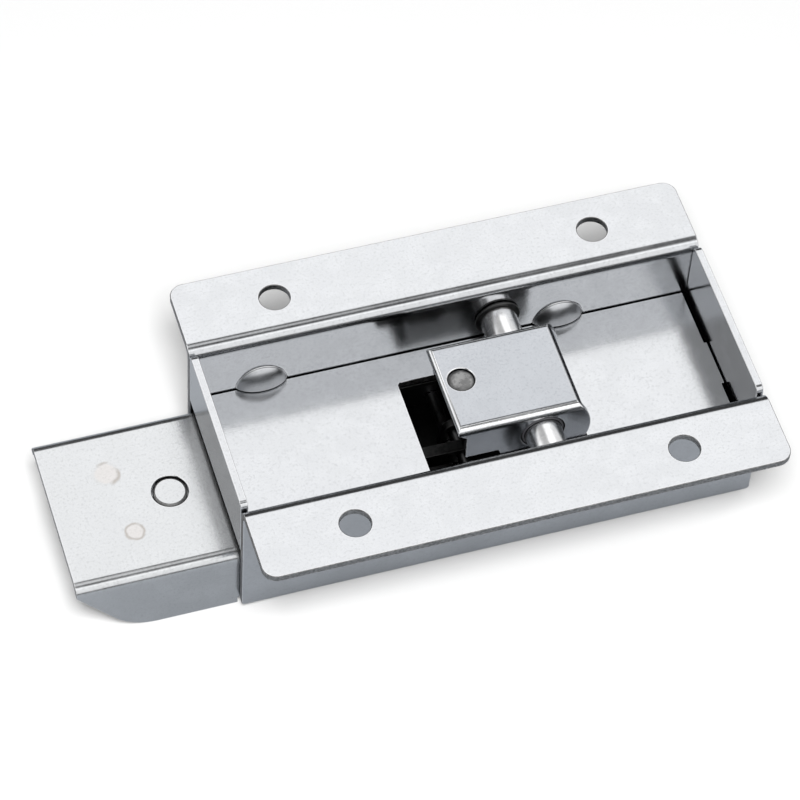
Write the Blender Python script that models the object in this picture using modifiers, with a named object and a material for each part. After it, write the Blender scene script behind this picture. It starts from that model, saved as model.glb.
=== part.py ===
"""Electric door strike. A folded steel box holds a pivoting keeper, its pawl and the solenoid behind the pawl.

X runs along the box, with the solenoid at -X. Z = 0 is the underside of the box, and the open side faces +Z.
The keeper's left end lifts when a latch pulls it, unless the solenoid holds the pawl up behind its stop pin.
"""

import math

import bmesh
import bpy
from mathutils import Matrix, Vector

GAP = 0.0003  # between pieces that touch
ARC_STEP = math.radians(12)

# Housing: one sheet folded into a hat section, with the right end wall folded up from its base.
SHEET = 0.0018
BOX_LENGTH = 0.127
BOX_DEPTH = 0.040
BOX_HALF = 0.0243
FLANGE_HALF = 0.043
FLANGE_BEND = 0.0015
BASE_BEND = 0.0014
FLANGE_CORNER = 0.0035
WALL_CORNER = 0.0035
END_WALL_ROOT = 0.050
INSET = 0.00002  # keeps the end wall's faces off the base's, so that the two join cleanly
END_RELIEF = 0.0585
RIM_CORNER = 0.0016
HOLE_X = 0.0397
HOLE_Y = 0.0335
HOLE_RADIUS = 0.0037
BOX_END = BOX_LENGTH / 2
WALL_INSIDE = BOX_HALF - SHEET

# Inner tray: the deck and the left end wall, folded from one sheet. A tab on the deck's right end meets the end wall.
DECK_TOP = 0.0223
DECK_HALF = WALL_INSIDE - GAP
DECK_BEND = 0.0006
DECK_END = 0.0607
TAB_HALF = 0.0063
CUTOUT_LEFT = -0.0144
CUTOUT_RIGHT = 0.0245
CUTOUT_HALF = 0.014

# Half-round dimples in the long walls that hold the deck down.
DIMPLE_X = (-0.0458, 0.0286)
DIMPLE_HALF = 0.0066
DIMPLE_RISE = 0.0065
DIMPLE_DEPTH = 0.0026

# Carrier: the channel that covers the solenoid and runs on under the deck.
CARRIER_SHEET = 0.0015
CARRIER_TOP = 0.0194
CARRIER_HALF = 0.0219
CARRIER_BEND = 0.0015
CARRIER_LEFT = -0.1023
CARRIER_RIGHT = 0.034
CARRIER_UNDER = CARRIER_TOP - CARRIER_SHEET
CORNER_RADIUS = 0.013
CORNER_END_X = -0.083
CORNER_ANGLE = math.radians(52)
FOOT_X = (-0.052, 0.0275)
FOOT_LENGTH = 0.012
FOOT_Y = 0.0165
FOOT_BOTTOM = SHEET + GAP
SPACER_X = (-0.052, 0.0295)
SPACER_Y = 0.0165
SPACER_RADIUS = 0.003
SEAM_RIVET_X = -0.0743
SEAM_RIVET_RADIUS = 0.0041

# Keeper and its pivot.
PIVOT = Vector((0.0128, 0, 0.0288))
PIN_RADIUS = 0.0045
PIN_PROUD = 0.0008
KEEPER_SHEET = 0.0015
KEEPER_TOP = 0.0361
KEEPER_HALF = 0.013
KEEPER_BEND = 0.0006
KEEPER_LEFT = -0.0083
LEG_LEFT = -0.0062
LEG_BOTTOM = 0.0253
CAM_X = 0.0132
CAM_Z = 0.0279
CAM_RADIUS = 0.0115
BUSH_RADIUS = 0.0051
BUSH_FLANGE = 0.0056
STUD_X = -0.0032
STUD_Y = 0.0016
STUD_RADIUS = 0.0030
STOP_DROP = 0.0087
STOP_RADIUS = 0.002
CLIP_GROOVE = 0.0039
CLIP_OUTER = 0.0056
CLIP_THICKNESS = 0.0005

# Pawl, pull link and plunger, all shown released. The plunger's stroke swings the pawl up behind the stop pin.
STROKE = 0.0018
PAWL = Vector((-0.0030, 0, 0.0050))
PAWL_PIN_RADIUS = 0.0016
PAWL_HUB = 0.0029
PAWL_HALF = 0.0075
PAWL_WEB = 0.002
FORK_REACH = 0.0115
AXIS_Z = 0.0093
PAWL_ARM = AXIS_Z - PAWL.z
PAWL_SWING = 2 * math.atan2(STROKE / 2, PAWL_ARM)
LINK_PIN_X = PAWL.x + STROKE / 2
LINK_PIN_RADIUS = 0.00125
PLUNGER_RADIUS = 0.0032
PLUNGER_LEFT = -0.0837
PLUNGER_RIGHT = -0.055
PLUNGER_PIN_X = -0.0575
CLIP_X = -0.0605
LINK_HALF = 0.0016
LINK_HEIGHT = 0.0046

# Solenoid.
FRAME_SHEET = 0.0016
FRAME_LEFT = -0.097
FRAME_RIGHT = -0.066
FRAME_HALF = 0.0105
FRAME_TOP = CARRIER_UNDER - GAP
FRAME_BOTTOM = 0.0016
COIL_RADIUS = 0.0063
BOBBIN_RADIUS = 0.0066
BOBBIN_TUBE = 0.0041
CORE_RIGHT = -0.0858
TERMINAL_X = -0.0905
TERMINAL_Y = (0.0133, 0.0175)
TERMINAL_RIGHT = -0.0800
TERMINAL_BOTTOM = 0.0088

PARTS = "electric_door_strike"
CUTTERS = "cutters"


# ---------------------------------------------------------------- scene and materials

def clear_scene():
    for obj in list(bpy.data.objects):
        bpy.data.objects.remove(obj)


def new_collection(name):
    collection = bpy.data.collections.new(name)
    bpy.context.scene.collection.children.link(collection)
    return collection


def material(name, color, roughness, metallic):
    made = bpy.data.materials.new(name)
    made.use_nodes = True
    shader = made.node_tree.nodes["Principled BSDF"]
    shader.inputs["Base Color"].default_value = (*color, 1)
    shader.inputs["Roughness"].default_value = roughness
    shader.inputs["Metallic"].default_value = metallic
    return made


def make_materials():
    return {
        "bright_plate": material("bright_plate", (0.80, 0.81, 0.82), 0.22, 1),
        "satin_plate": material("satin_plate", (0.72, 0.73, 0.74), 0.32, 1),
        "ground_steel": material("ground_steel", (0.68, 0.68, 0.69), 0.18, 1),
        "dark_steel": material("dark_steel", (0.10, 0.10, 0.11), 0.45, 1),
        "black_plastic": material("black_plastic", (0.02, 0.02, 0.02), 0.5, 0),
        "bobbin_plastic": material("bobbin_plastic", (0.75, 0.72, 0.62), 0.5, 0),
        "copper_coil": material("copper_coil", (0.55, 0.22, 0.09), 0.35, 1),
        "brass": material("brass", (0.72, 0.55, 0.25), 0.3, 1),
        "lead_red": material("lead_red", (0.5, 0.03, 0.02), 0.5, 0),
        "lead_black": material("lead_black", (0.03, 0.03, 0.03), 0.5, 0),
    }


# ---------------------------------------------------------------- shape helpers

def link(obj, mat=None):
    """Puts a finished object in the parts collection, or a helper in the cutters collection."""
    bpy.data.collections[PARTS if mat else CUTTERS].objects.link(obj)
    if mat:
        obj.data.materials.clear()
        obj.data.materials.append(mat)
    else:
        obj.hide_render = True
        obj.display_type = "WIRE"
    return obj


def mesh_object(name, shape, mat=None):
    data = bpy.data.meshes.new(name)
    shape.to_mesh(data)
    shape.free()
    return link(bpy.data.objects.new(name, data), mat)


def box(name, low, high, mat=None):
    shape = bmesh.new()
    low, high = Vector(low), Vector(high)
    size = high - low
    place = Matrix.Translation((low + high) / 2) @ Matrix.Diagonal((*size, 1))
    bmesh.ops.create_cube(shape, size=1, matrix=place)
    return mesh_object(name, shape, mat)


def turned(name, center, axis, profile, mat=None, segments=32):
    """A turned piece on an X, Y or Z axis, from (distance along the axis, radius) pairs in rising order."""
    shape = bmesh.new()
    points = [shape.verts.new((radius, 0, along)) for along, radius in reversed(profile)]
    for first, second in zip(points, points[1:]):
        shape.edges.new((first, second))
    obj = mesh_object(name, shape, mat)
    screw = obj.modifiers.new("turn", "SCREW")
    screw.axis = "Z"
    screw.steps = screw.render_steps = segments
    screw.use_merge_vertices = True
    screw.merge_threshold = 0.00001
    screw.use_smooth_shade = True
    turn = {"X": (0, math.pi / 2, 0), "Y": (-math.pi / 2, 0, 0), "Z": (0, 0, 0)}[axis]
    obj.location = center
    obj.rotation_euler = turn
    return obj


def rod(name, center, axis, start, end, radius, mat=None, chamfer=0.0, segments=32):
    profile = [(start, 0)]
    if chamfer:
        profile += [(start, radius - chamfer), (start + chamfer, radius)]
        profile += [(end - chamfer, radius), (end, radius - chamfer)]
    else:
        profile += [(start, radius), (end, radius)]
    return turned(name, center, axis, profile + [(end, 0)], mat, segments)


def ring(name, center, axis, start, end, inner, outer, mat, segments=32):
    loop = [(start, inner), (start, outer), (end, outer), (end, inner), (start, inner)]
    return turned(name, center, axis, loop, mat, segments)


def arc(center, radius, start, end):
    """Points on a circle from one angle to another, in radians, both ends included."""
    steps = max(2, math.ceil(abs(end - start) / ARC_STEP))
    angles = [start + (end - start) * i / steps for i in range(steps + 1)]
    return [(center[0] + radius * math.cos(a), center[1] + radius * math.sin(a)) for a in angles]


def curve_object(name, splines, closed, dimensions="3D"):
    data = bpy.data.curves.new(name, "CURVE")
    data.dimensions = dimensions
    for points in splines:
        spline = data.splines.new("POLY")
        spline.points.add(len(points) - 1)
        for target, point in zip(spline.points, points):
            target.co = (*point, *(0,) * (3 - len(point)), 1)
        spline.use_cyclic_u = closed
    return bpy.data.objects.new(name, data)


def as_mesh(curve, mat=None):
    """The curve as a closed mesh object with welded caps. The curve is removed."""
    bpy.context.scene.collection.objects.link(curve)
    graph = bpy.context.evaluated_depsgraph_get()
    data = bpy.data.meshes.new_from_object(curve.evaluated_get(graph))
    shape = bmesh.new()
    shape.from_mesh(data)
    bmesh.ops.remove_doubles(shape, verts=shape.verts, dist=0.000001)
    bmesh.ops.recalc_face_normals(shape, faces=shape.faces)
    shape.to_mesh(data)
    shape.free()
    name, place = curve.name, curve.matrix_world.copy()
    bpy.data.objects.remove(curve)
    obj = bpy.data.objects.new(name, data)
    obj.matrix_world = place
    return link(obj, mat)


def prism(name, outlines, plane, low, high, mat=None):
    """Flat outlines in the XY, XZ or YZ plane, extruded along the third axis from low to high."""
    curve = curve_object(name, outlines, True, "2D")
    curve.data.fill_mode = "BOTH"
    curve.data.extrude = (high - low) / 2
    middle = (low + high) / 2
    curve.matrix_world = {
        "XY": Matrix.Translation((0, 0, middle)),
        "XZ": Matrix.Translation((0, middle, 0)) @ Matrix.Rotation(math.pi / 2, 4, "X"),
        "YZ": Matrix.Translation((middle, 0, 0)) @ Matrix.Rotation(math.pi / 2, 4, "Z")
        @ Matrix.Rotation(math.pi / 2, 4, "X"),
    }[plane]
    return as_mesh(curve, mat)


def wire(name, points, radius, mat, sides=2):
    curve = curve_object(name, [points], False)
    curve.data.bevel_depth = radius
    curve.data.bevel_resolution = sides
    curve.data.use_fill_caps = True
    obj = as_mesh(curve, mat)
    obj.data.shade_smooth()
    return obj


def bent_strip(corners, thickness, bends):
    """The closed outline of a folded strip. The corners lie on one side, and the sheet is on their left."""
    points = [Vector(p) for p in corners]
    near, far = [points[0]], []
    start = (points[1] - points[0]).normalized()
    far.append(points[0] + thickness * Vector((-start.y, start.x)))
    for before, corner, after, bend in zip(points, points[1:], points[2:], bends):
        into = (corner - before).normalized()
        out = (after - corner).normalized()
        turn = math.atan2(into.cross(out), into.dot(out))
        side = math.copysign(1, turn)
        near_radius = bend + (thickness if side > 0 else 0)
        far_radius = bend + (0 if side > 0 else thickness)
        reach = near_radius * math.tan(abs(turn) / 2)
        center = corner - reach * into + side * near_radius * Vector((-into.y, into.x))
        first = math.atan2(-side * into.x, side * into.y)
        for radius, line in ((near_radius, near), (far_radius, far)):
            line += [Vector(p) for p in arc(center, radius, first, first + turn)]
    end = (points[-1] - points[-2]).normalized()
    near.append(points[-1])
    far.append(points[-1] + thickness * Vector((-end.y, end.x)))
    return [tuple(p) for p in near + far[::-1]]


def rounded_box(low, high, radius):
    """A rectangle with round corners, as an outline."""
    outline = []
    for x, y, quarter in ((1, 1, 0), (0, 1, 1), (0, 0, 2), (1, 0, 3)):
        center = [(high if side else low)[i] + (-radius if side else radius) for i, side in enumerate((x, y))]
        outline += arc(center, radius, quarter * math.pi / 2, (quarter + 1) * math.pi / 2)
    return outline


def boolean(obj, other, operation):
    step = obj.modifiers.new(operation.lower(), "BOOLEAN")
    step.operation = operation
    step.solver = "EXACT"
    step.object = other


def cut(obj, *cutters):
    for cutter in cutters:
        boolean(obj, cutter, "DIFFERENCE")


def join(obj, *others):
    for other in others:
        boolean(obj, other, "UNION")


def sharpen(obj, degrees=30):
    obj.data.shade_smooth()
    obj.data.set_sharp_from_angle(angle=math.radians(degrees))


# ---------------------------------------------------------------- sheet-metal parts

def make_housing(mats):
    """Base, two long walls, two mounting flanges and the right end wall."""
    profile = [
        (FLANGE_HALF, BOX_DEPTH), (BOX_HALF - SHEET, BOX_DEPTH), (BOX_HALF - SHEET, SHEET),
        (-BOX_HALF + SHEET, SHEET), (-BOX_HALF + SHEET, BOX_DEPTH), (-FLANGE_HALF, BOX_DEPTH),
    ]
    bends = (FLANGE_BEND, BASE_BEND, BASE_BEND, FLANGE_BEND)
    housing = prism("housing", [bent_strip(profile, SHEET, bends)], "YZ", -BOX_END, BOX_END,
                    mats["bright_plate"])
    plan = rounded_box((-BOX_END, -FLANGE_HALF), (BOX_END, FLANGE_HALF), FLANGE_CORNER)
    boolean(housing, prism("housing_plan", [plan], "XY", -0.01, BOX_DEPTH + 0.01), "INTERSECT")
    side = rounded_box((-BOX_END, 0), (BOX_END, 2 * BOX_DEPTH), WALL_CORNER)
    boolean(housing, prism("housing_side", [side], "XZ", -0.06, 0.06), "INTERSECT")
    half = WALL_INSIDE - GAP / 3
    cut(housing, box("end_relief", (END_RELIEF, -half, -0.001), (BOX_END + 0.001, half, WALL_CORNER + INSET)))
    join(housing, end_wall())
    for x in (-HOLE_X, HOLE_X):
        for y in (-HOLE_Y, HOLE_Y):
            cut(housing, rod("flange_hole", (x, y, BOX_DEPTH), "Z", -0.005, 0.005, HOLE_RADIUS))
    for y in (-BOX_HALF, BOX_HALF):
        cut(housing, rod("pin_hole", (PIVOT.x, y, PIVOT.z), "Y", -0.005, 0.005, PIN_RADIUS + GAP))
    for x in FOOT_X:
        for y in (-FOOT_Y, FOOT_Y):
            sink = [(-0.001, 0), (-0.001, 0.0042), (0.0014, 0.0018), (0.005, 0.0018), (0.005, 0)]
            cut(housing, turned("screw_sink", (x, y, 0), "Z", sink, segments=20))
    add_dimples(housing)
    return housing


def end_wall():
    """The right end wall with its bend and the strip of base that it grows from."""
    profile = [(END_WALL_ROOT, INSET), (BOX_END, INSET), (BOX_END, BOX_DEPTH)]
    half = WALL_INSIDE - GAP
    wall = prism("end_wall", [bent_strip(profile, SHEET - 2 * INSET, (BASE_BEND,))], "XZ", -half, half)
    rim = rounded_box((-half, -BOX_DEPTH), (half, BOX_DEPTH), RIM_CORNER)
    boolean(wall, prism("end_wall_rim", [rim], "YZ", 0, 0.08), "INTERSECT")
    return wall


def add_dimples(housing):
    """Each dimple is a quarter-ball pushed in through the wall, cut off flat just over the deck."""
    for x in DIMPLE_X:
        for side in (-1, 1):
            join(housing, dimple_ball("dimple_out", x, side, 0, WALL_INSIDE + SHEET / 2, GAP))
            cut(housing, dimple_ball("dimple_in", x, side, SHEET, BOX_HALF + 0.004, -GAP))


def dimple_ball(name, x, side, shrink, outer, lift):
    """A half ball from y = outer inwards, with its flat side just over the deck."""
    shape = bmesh.new()
    reach = (DIMPLE_HALF, outer - WALL_INSIDE + DIMPLE_DEPTH, DIMPLE_RISE)
    size = Matrix.Diagonal((*(r - shrink for r in reach), 1))
    bmesh.ops.create_uvsphere(shape, u_segments=16, v_segments=8, radius=1)
    turn = Matrix.Rotation(math.pi / 2, 4, "X")
    place = Matrix.Translation((x, side * outer, DECK_TOP + lift))
    bmesh.ops.transform(shape, matrix=place @ size @ turn, verts=shape.verts)
    plane = {"plane_co": (0, 0, DECK_TOP + lift), "plane_no": (0, 0, -1), "clear_outer": True}
    keep_side = {"plane_co": (0, side * outer, 0), "plane_no": (0, side, 0), "clear_outer": True}
    for flat in (plane, keep_side):
        found = bmesh.ops.bisect_plane(shape, geom=list(shape.verts) + list(shape.edges) + list(shape.faces),
                                       **flat)
        edges = [g for g in found["geom_cut"] if isinstance(g, bmesh.types.BMEdge)]
        bmesh.ops.holes_fill(shape, edges=edges)
    bmesh.ops.recalc_face_normals(shape, faces=shape.faces)
    return mesh_object(name, shape)


def make_inner_tray(mats):
    """The deck under the keeper, with the left end wall folded up from it."""
    under = DECK_TOP - SHEET
    profile = [(-BOX_END, BOX_DEPTH), (-BOX_END, under), (BOX_END - SHEET - GAP, under)]
    tray = prism("inner_tray", [bent_strip(profile, SHEET, (DECK_BEND,))], "XZ", -DECK_HALF, DECK_HALF,
                 mats["bright_plate"])
    end = rounded_box((-DECK_HALF, 0), (DECK_HALF, BOX_DEPTH), RIM_CORNER)
    boolean(tray, prism("rim_shape", [end], "YZ", -0.08, 0.08), "INTERSECT")
    hole = rounded_box((CUTOUT_LEFT, -CUTOUT_HALF), (CUTOUT_RIGHT, CUTOUT_HALF), 0.0008)
    cut(tray, prism("deck_cutout", [hole], "XY", under - 0.003, DECK_TOP + 0.003))
    for side in (-1, 1):
        near, far = sorted((side * TAB_HALF, side * (DECK_HALF + 0.002)))
        cut(tray, box("tab_side", (DECK_END, near, under - 0.004), (BOX_END, far, DECK_TOP + 0.004)))
    return tray


def make_carrier(mats):
    """An upturned channel: the solenoid's cover outside the box, the mechanism's frame under the deck."""
    profile = [(-CARRIER_HALF, 0), (-CARRIER_HALF, CARRIER_TOP), (CARRIER_HALF, CARRIER_TOP),
               (CARRIER_HALF, 0)]
    outline = bent_strip(profile[::-1], CARRIER_SHEET, (CARRIER_BEND, CARRIER_BEND))
    carrier = prism("solenoid_carrier", [outline], "YZ", CARRIER_LEFT, CARRIER_RIGHT,
                    mats["satin_plate"])
    cut(carrier, box("base_room", (-BOX_END - GAP, -0.03, -0.01), (0.05, 0.03, FOOT_BOTTOM)))
    cut(carrier, corner_cutter())
    for x in FOOT_X:
        for side in (-1, 1):
            add_foot(carrier, x, side)
    hole = rounded_box((CUTOUT_LEFT - GAP, -CUTOUT_HALF - GAP), (CUTOUT_RIGHT + GAP, CUTOUT_HALF + GAP),
                       0.0008)
    cut(carrier, prism("carrier_cutout", [hole], "XY", CARRIER_UNDER - 0.003, CARRIER_TOP + 0.003))
    stop_face = PIVOT.x + STOP_RADIUS + GAP
    join(carrier, box("stop_tongue", (stop_face, -0.006, CARRIER_UNDER),
                      (CUTOUT_RIGHT + 0.002, 0.006, CARRIER_TOP)))
    for x in SPACER_X:
        for y in (-SPACER_Y, SPACER_Y):
            join(carrier, rod("spacer", (x, y, 0), "Z", CARRIER_UNDER + GAP, DECK_TOP - SHEET - GAP,
                              SPACER_RADIUS, segments=20))
    cut(carrier, rod("rivet_hole", (SEAM_RIVET_X, 0, CARRIER_TOP), "Z", -0.005, 0.005,
                     SEAM_RIVET_RADIUS + GAP))
    cut(carrier, rod("pawl_pin_hole", PAWL, "Y", -0.03, 0.03, PAWL_PIN_RADIUS + GAP, segments=20))
    return carrier


def corner_cutter():
    """Takes the lower outer corner off the carrier's sides: a slope that runs into an arc."""
    middle = (CORNER_END_X, CORNER_RADIUS)
    curve = arc(middle, CORNER_RADIUS, -math.pi / 2, -math.pi / 2 - CORNER_ANGLE)
    last = Vector(curve[-1])
    slope = Vector((-math.cos(CORNER_ANGLE), math.sin(CORNER_ANGLE)))
    top = last + slope * (last.x - CARRIER_LEFT + 0.001) / math.cos(CORNER_ANGLE)
    outline = curve + [tuple(top), (top.x, -0.002), (CORNER_END_X, -0.002)]
    return prism("corner_slope", [outline], "XZ", -0.03, 0.03)


def add_foot(carrier, x, side):
    """A tab folded in under the carrier, with its screw hole."""
    near, far = sorted((side * (FOOT_Y - 0.004), side * (CARRIER_HALF - CARRIER_SHEET / 2)))
    join(carrier, box("foot", (x - FOOT_LENGTH / 2, near, FOOT_BOTTOM),
                      (x + FOOT_LENGTH / 2, far, FOOT_BOTTOM + CARRIER_SHEET)))
    cut(carrier, rod("foot_hole", (x, side * FOOT_Y, FOOT_BOTTOM), "Z", -0.001, 0.004, 0.0014 + GAP,
                     segments=20))


# ---------------------------------------------------------------- keeper and its pivot

def make_keeper(mats):
    """A folded channel whose legs widen into round cams about the pivot."""
    top = KEEPER_TOP
    profile = [(KEEPER_HALF, 0), (KEEPER_HALF, top), (-KEEPER_HALF, top), (-KEEPER_HALF, 0)]
    outline = bent_strip(profile, KEEPER_SHEET, (KEEPER_BEND, KEEPER_BEND))
    keeper = prism("keeper", [outline], "YZ", KEEPER_LEFT - 0.001, CAM_X + CAM_RADIUS + 0.001,
                   mats["bright_plate"])
    rise = math.asin((top - CAM_Z) / CAM_RADIUS)
    drop = math.asin((CAM_Z - LEG_BOTTOM) / CAM_RADIUS)
    cam = arc((CAM_X, CAM_Z), CAM_RADIUS, math.pi + drop, 2 * math.pi + rise)
    side = [(KEEPER_LEFT, top + 0.001), (KEEPER_LEFT, top - 0.0018), (LEG_LEFT, top - 0.0034)]
    side += [(LEG_LEFT, LEG_BOTTOM), *cam, (cam[-1][0], top + 0.001)]
    boolean(keeper, prism("keeper_side", [side], "XZ", -0.02, 0.02), "INTERSECT")
    stop = PIVOT - Vector((0, 0, STOP_DROP))
    cut(keeper, rod("bush_hole", PIVOT, "Y", -0.02, 0.02, BUSH_RADIUS + GAP))
    cut(keeper, rod("stop_hole", stop, "Y", -0.02, 0.02, STOP_RADIUS + GAP, segments=20))
    cut(keeper, rod("stud_hole", (STUD_X, STUD_Y, top), "Z", -0.003, 0.003, STUD_RADIUS + GAP))
    return keeper


def make_keeper_stud(mats):
    """The catch stud, staked flush in the keeper's top, with a collar under the plate."""
    under = -KEEPER_SHEET - GAP
    profile = [(-0.0046, 0), (-0.0046, 0.0028), (-0.0040, STUD_RADIUS), (under - 0.0012, STUD_RADIUS),
               (under - 0.0012, 0.0044), (under, 0.0044), (under, STUD_RADIUS),
               (-0.0002, STUD_RADIUS), (-0.0002, 0)]
    return turned("keeper_stud", (STUD_X, STUD_Y, KEEPER_TOP), "Z", profile, mats["dark_steel"])


def make_keeper_bush(mats, side, name):
    """A sleeve in the keeper's leg, flush outside, with its flange inside."""
    face = KEEPER_HALF
    flange = KEEPER_HALF - KEEPER_SHEET - GAP
    bore = PIN_RADIUS + GAP / 2
    profile = [(flange - 0.001, bore), (flange - 0.001, BUSH_FLANGE), (flange, BUSH_FLANGE),
               (flange, BUSH_RADIUS), (face, BUSH_RADIUS), (face, bore), (flange - 0.001, bore)]
    if side < 0:
        profile = [(-along, radius) for along, radius in reversed(profile)]
    return turned(name, PIVOT, "Y", profile, mats["black_plastic"])


def make_pivot_pin(mats):
    end = BOX_HALF + PIN_PROUD
    right = WALL_INSIDE - GAP / 2
    left = right - CLIP_THICKNESS - GAP
    half = [(left, PIN_RADIUS), (left, CLIP_GROOVE), (right, CLIP_GROOVE), (right, PIN_RADIUS),
            (end - 0.0006, PIN_RADIUS), (end, PIN_RADIUS - 0.0006), (end, 0)]
    profile = [(-along, radius) for along, radius in reversed(half)] + half
    return turned("pivot_pin", PIVOT, "Y", profile, mats["ground_steel"])


def make_pin_clip(mats, side, name):
    """A retaining ring in the pin's groove, open at the bottom."""
    opening = math.radians(35)
    start, end = -math.pi / 2 + opening, 1.5 * math.pi - opening
    middle = (PIVOT.x, PIVOT.z)
    outer = arc(middle, CLIP_OUTER, start, end)
    inner = arc(middle, CLIP_GROOVE + 0.0002, end, start)
    face = WALL_INSIDE - GAP
    low, high = sorted((side * (face - CLIP_THICKNESS), side * face))
    return prism(name, [outer + inner], "XZ", low, high, mats["dark_steel"])


def make_keeper_spring(mats):
    """Torsion spring round the pivot: one end bears on the carrier's tongue, the other on the keeper."""
    wire_radius, coil_radius, pitch = 0.0004, 0.0051, 0.0011
    rest = Vector((0.0062, -0.0089))
    start = math.atan2(rest.y, rest.x) - math.acos(coil_radius / rest.length)
    end = math.pi / 2 - 16 * math.pi
    width = pitch * (start - end) / (2 * math.pi)
    points = [(rest.x, -width / 2, rest.y)]
    steps = round(12 * (start - end) / (2 * math.pi))
    for i in range(steps + 1):
        angle = start + (end - start) * i / steps
        along = -width / 2 + width * i / steps
        points.append((coil_radius * math.cos(angle), along, coil_radius * math.sin(angle)))
    points.append((0.0072, width / 2, coil_radius))
    return wire("keeper_spring", [tuple(PIVOT + Vector(p)) for p in points], wire_radius,
                mats["dark_steel"], sides=1)


def make_stop_pin(mats):
    stop = PIVOT - Vector((0, 0, STOP_DROP))
    return rod("stop_pin", stop, "Y", -KEEPER_HALF - 0.0004, KEEPER_HALF + 0.0004, STOP_RADIUS,
               mats["ground_steel"], chamfer=0.0003, segments=24)


# ---------------------------------------------------------------- pawl, link and plunger

def make_pawl(mats):
    """A forked lever: its nose swings up behind the stop pin when the link pulls its tail."""
    reach = PIVOT - Vector((0, 0, STOP_DROP)) - PAWL
    nose_radius = reach.length - STOP_RADIUS - GAP
    toward = math.atan2(reach.z, reach.x) - PAWL_SWING
    nose = arc((PAWL.x, PAWL.z), nose_radius, toward - math.radians(8), toward + math.radians(5))
    tail = arc((LINK_PIN_X, AXIS_Z), 0.0029, math.radians(60), math.pi)
    hub = arc((PAWL.x, PAWL.z), PAWL_HUB, math.pi, math.radians(290))
    pawl = prism("locking_pawl", [nose + tail + hub], "XZ", -PAWL_HALF, PAWL_HALF, mats["dark_steel"])
    fork = PAWL_HALF - PAWL_WEB
    cut(pawl, rod("fork_room", PAWL, "Y", -fork, fork, FORK_REACH, segments=24))
    cut(pawl, rod("pawl_bore", PAWL, "Y", -0.02, 0.02, PAWL_PIN_RADIUS + GAP / 2, segments=24))
    cut(pawl, rod("link_hole", (LINK_PIN_X, 0, AXIS_Z), "Y", -0.02, 0.02, LINK_PIN_RADIUS + GAP,
                  segments=20))
    return pawl


def make_pawl_pin(mats):
    length = WALL_INSIDE - GAP
    return rod("pawl_pin", PAWL, "Y", -length, length, PAWL_PIN_RADIUS, mats["ground_steel"],
               chamfer=0.0003, segments=24)


def make_pull_link(mats):
    """A flat bar from the plunger's slot to the pawl's tail."""
    half = LINK_HEIGHT / 2
    left = arc((PLUNGER_PIN_X, AXIS_Z), half, math.pi / 2, 1.5 * math.pi)
    right = arc((LINK_PIN_X, AXIS_Z), half, -math.pi / 2, math.pi / 2)
    bar = prism("pull_link", [left + right], "XZ", -LINK_HALF, LINK_HALF, mats["dark_steel"])
    for x in (PLUNGER_PIN_X, LINK_PIN_X):
        cut(bar, rod("link_hole", (x, 0, AXIS_Z), "Y", -0.005, 0.005, LINK_PIN_RADIUS + GAP / 2,
                     segments=20))
    return bar


def make_plunger(mats):
    """The moving core, slotted for the link, with a groove for the spring's clip."""
    groove = (CLIP_X - 0.0005, CLIP_X + 0.0005)
    radius = PLUNGER_RADIUS
    profile = [(PLUNGER_LEFT, 0), (PLUNGER_LEFT, radius - 0.0012), (PLUNGER_LEFT + 0.002, radius),
               (groove[0], radius), (groove[0], radius - 0.0007), (groove[1], radius - 0.0007),
               (groove[1], radius), (PLUNGER_RIGHT, radius), (PLUNGER_RIGHT, 0)]
    plunger = turned("plunger", (0, 0, AXIS_Z), "X", profile, mats["ground_steel"])
    slot_half = LINK_HALF + GAP
    cut(plunger, box("plunger_slot", (CLIP_X + 0.0006, -slot_half, 0), (-0.05, slot_half, 0.02)))
    cut(plunger, rod("plunger_pin_hole", (PLUNGER_PIN_X, 0, AXIS_Z), "Y", -0.005, 0.005,
                     LINK_PIN_RADIUS + GAP / 2, segments=20))
    return plunger


def make_link_pin(mats, name, x, half):
    return rod(name, (x, 0, AXIS_Z), "Y", -half, half, LINK_PIN_RADIUS, mats["ground_steel"],
               chamfer=0.0002, segments=20)


def make_spring_clip(mats):
    """The clip in the plunger's groove that the return spring pushes on."""
    opening = math.radians(30)
    outer = arc((0, AXIS_Z), 0.0053, -math.pi / 2 + opening, 1.5 * math.pi - opening)
    inner = arc((0, AXIS_Z), PLUNGER_RADIUS - 0.0005, 1.5 * math.pi - opening, -math.pi / 2 + opening)
    return prism("spring_clip", [outer + inner], "YZ", CLIP_X - 0.00035, CLIP_X + 0.00035,
                 mats["dark_steel"])


def make_plunger_spring(mats):
    turns, steps, radius, wire_radius = 4, 12, 0.0042, 0.0003
    start = FRAME_RIGHT + wire_radius + GAP
    end = CLIP_X - 0.00035 - wire_radius - GAP
    points = []
    for i in range(turns * steps + 1):
        angle = 2 * math.pi * i / steps
        along = start + (end - start) * i / (turns * steps)
        points.append((along, radius * math.cos(angle), AXIS_Z + radius * math.sin(angle)))
    return wire("plunger_spring", points, wire_radius, mats["ground_steel"], sides=1)


# ---------------------------------------------------------------- solenoid and wiring

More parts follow.
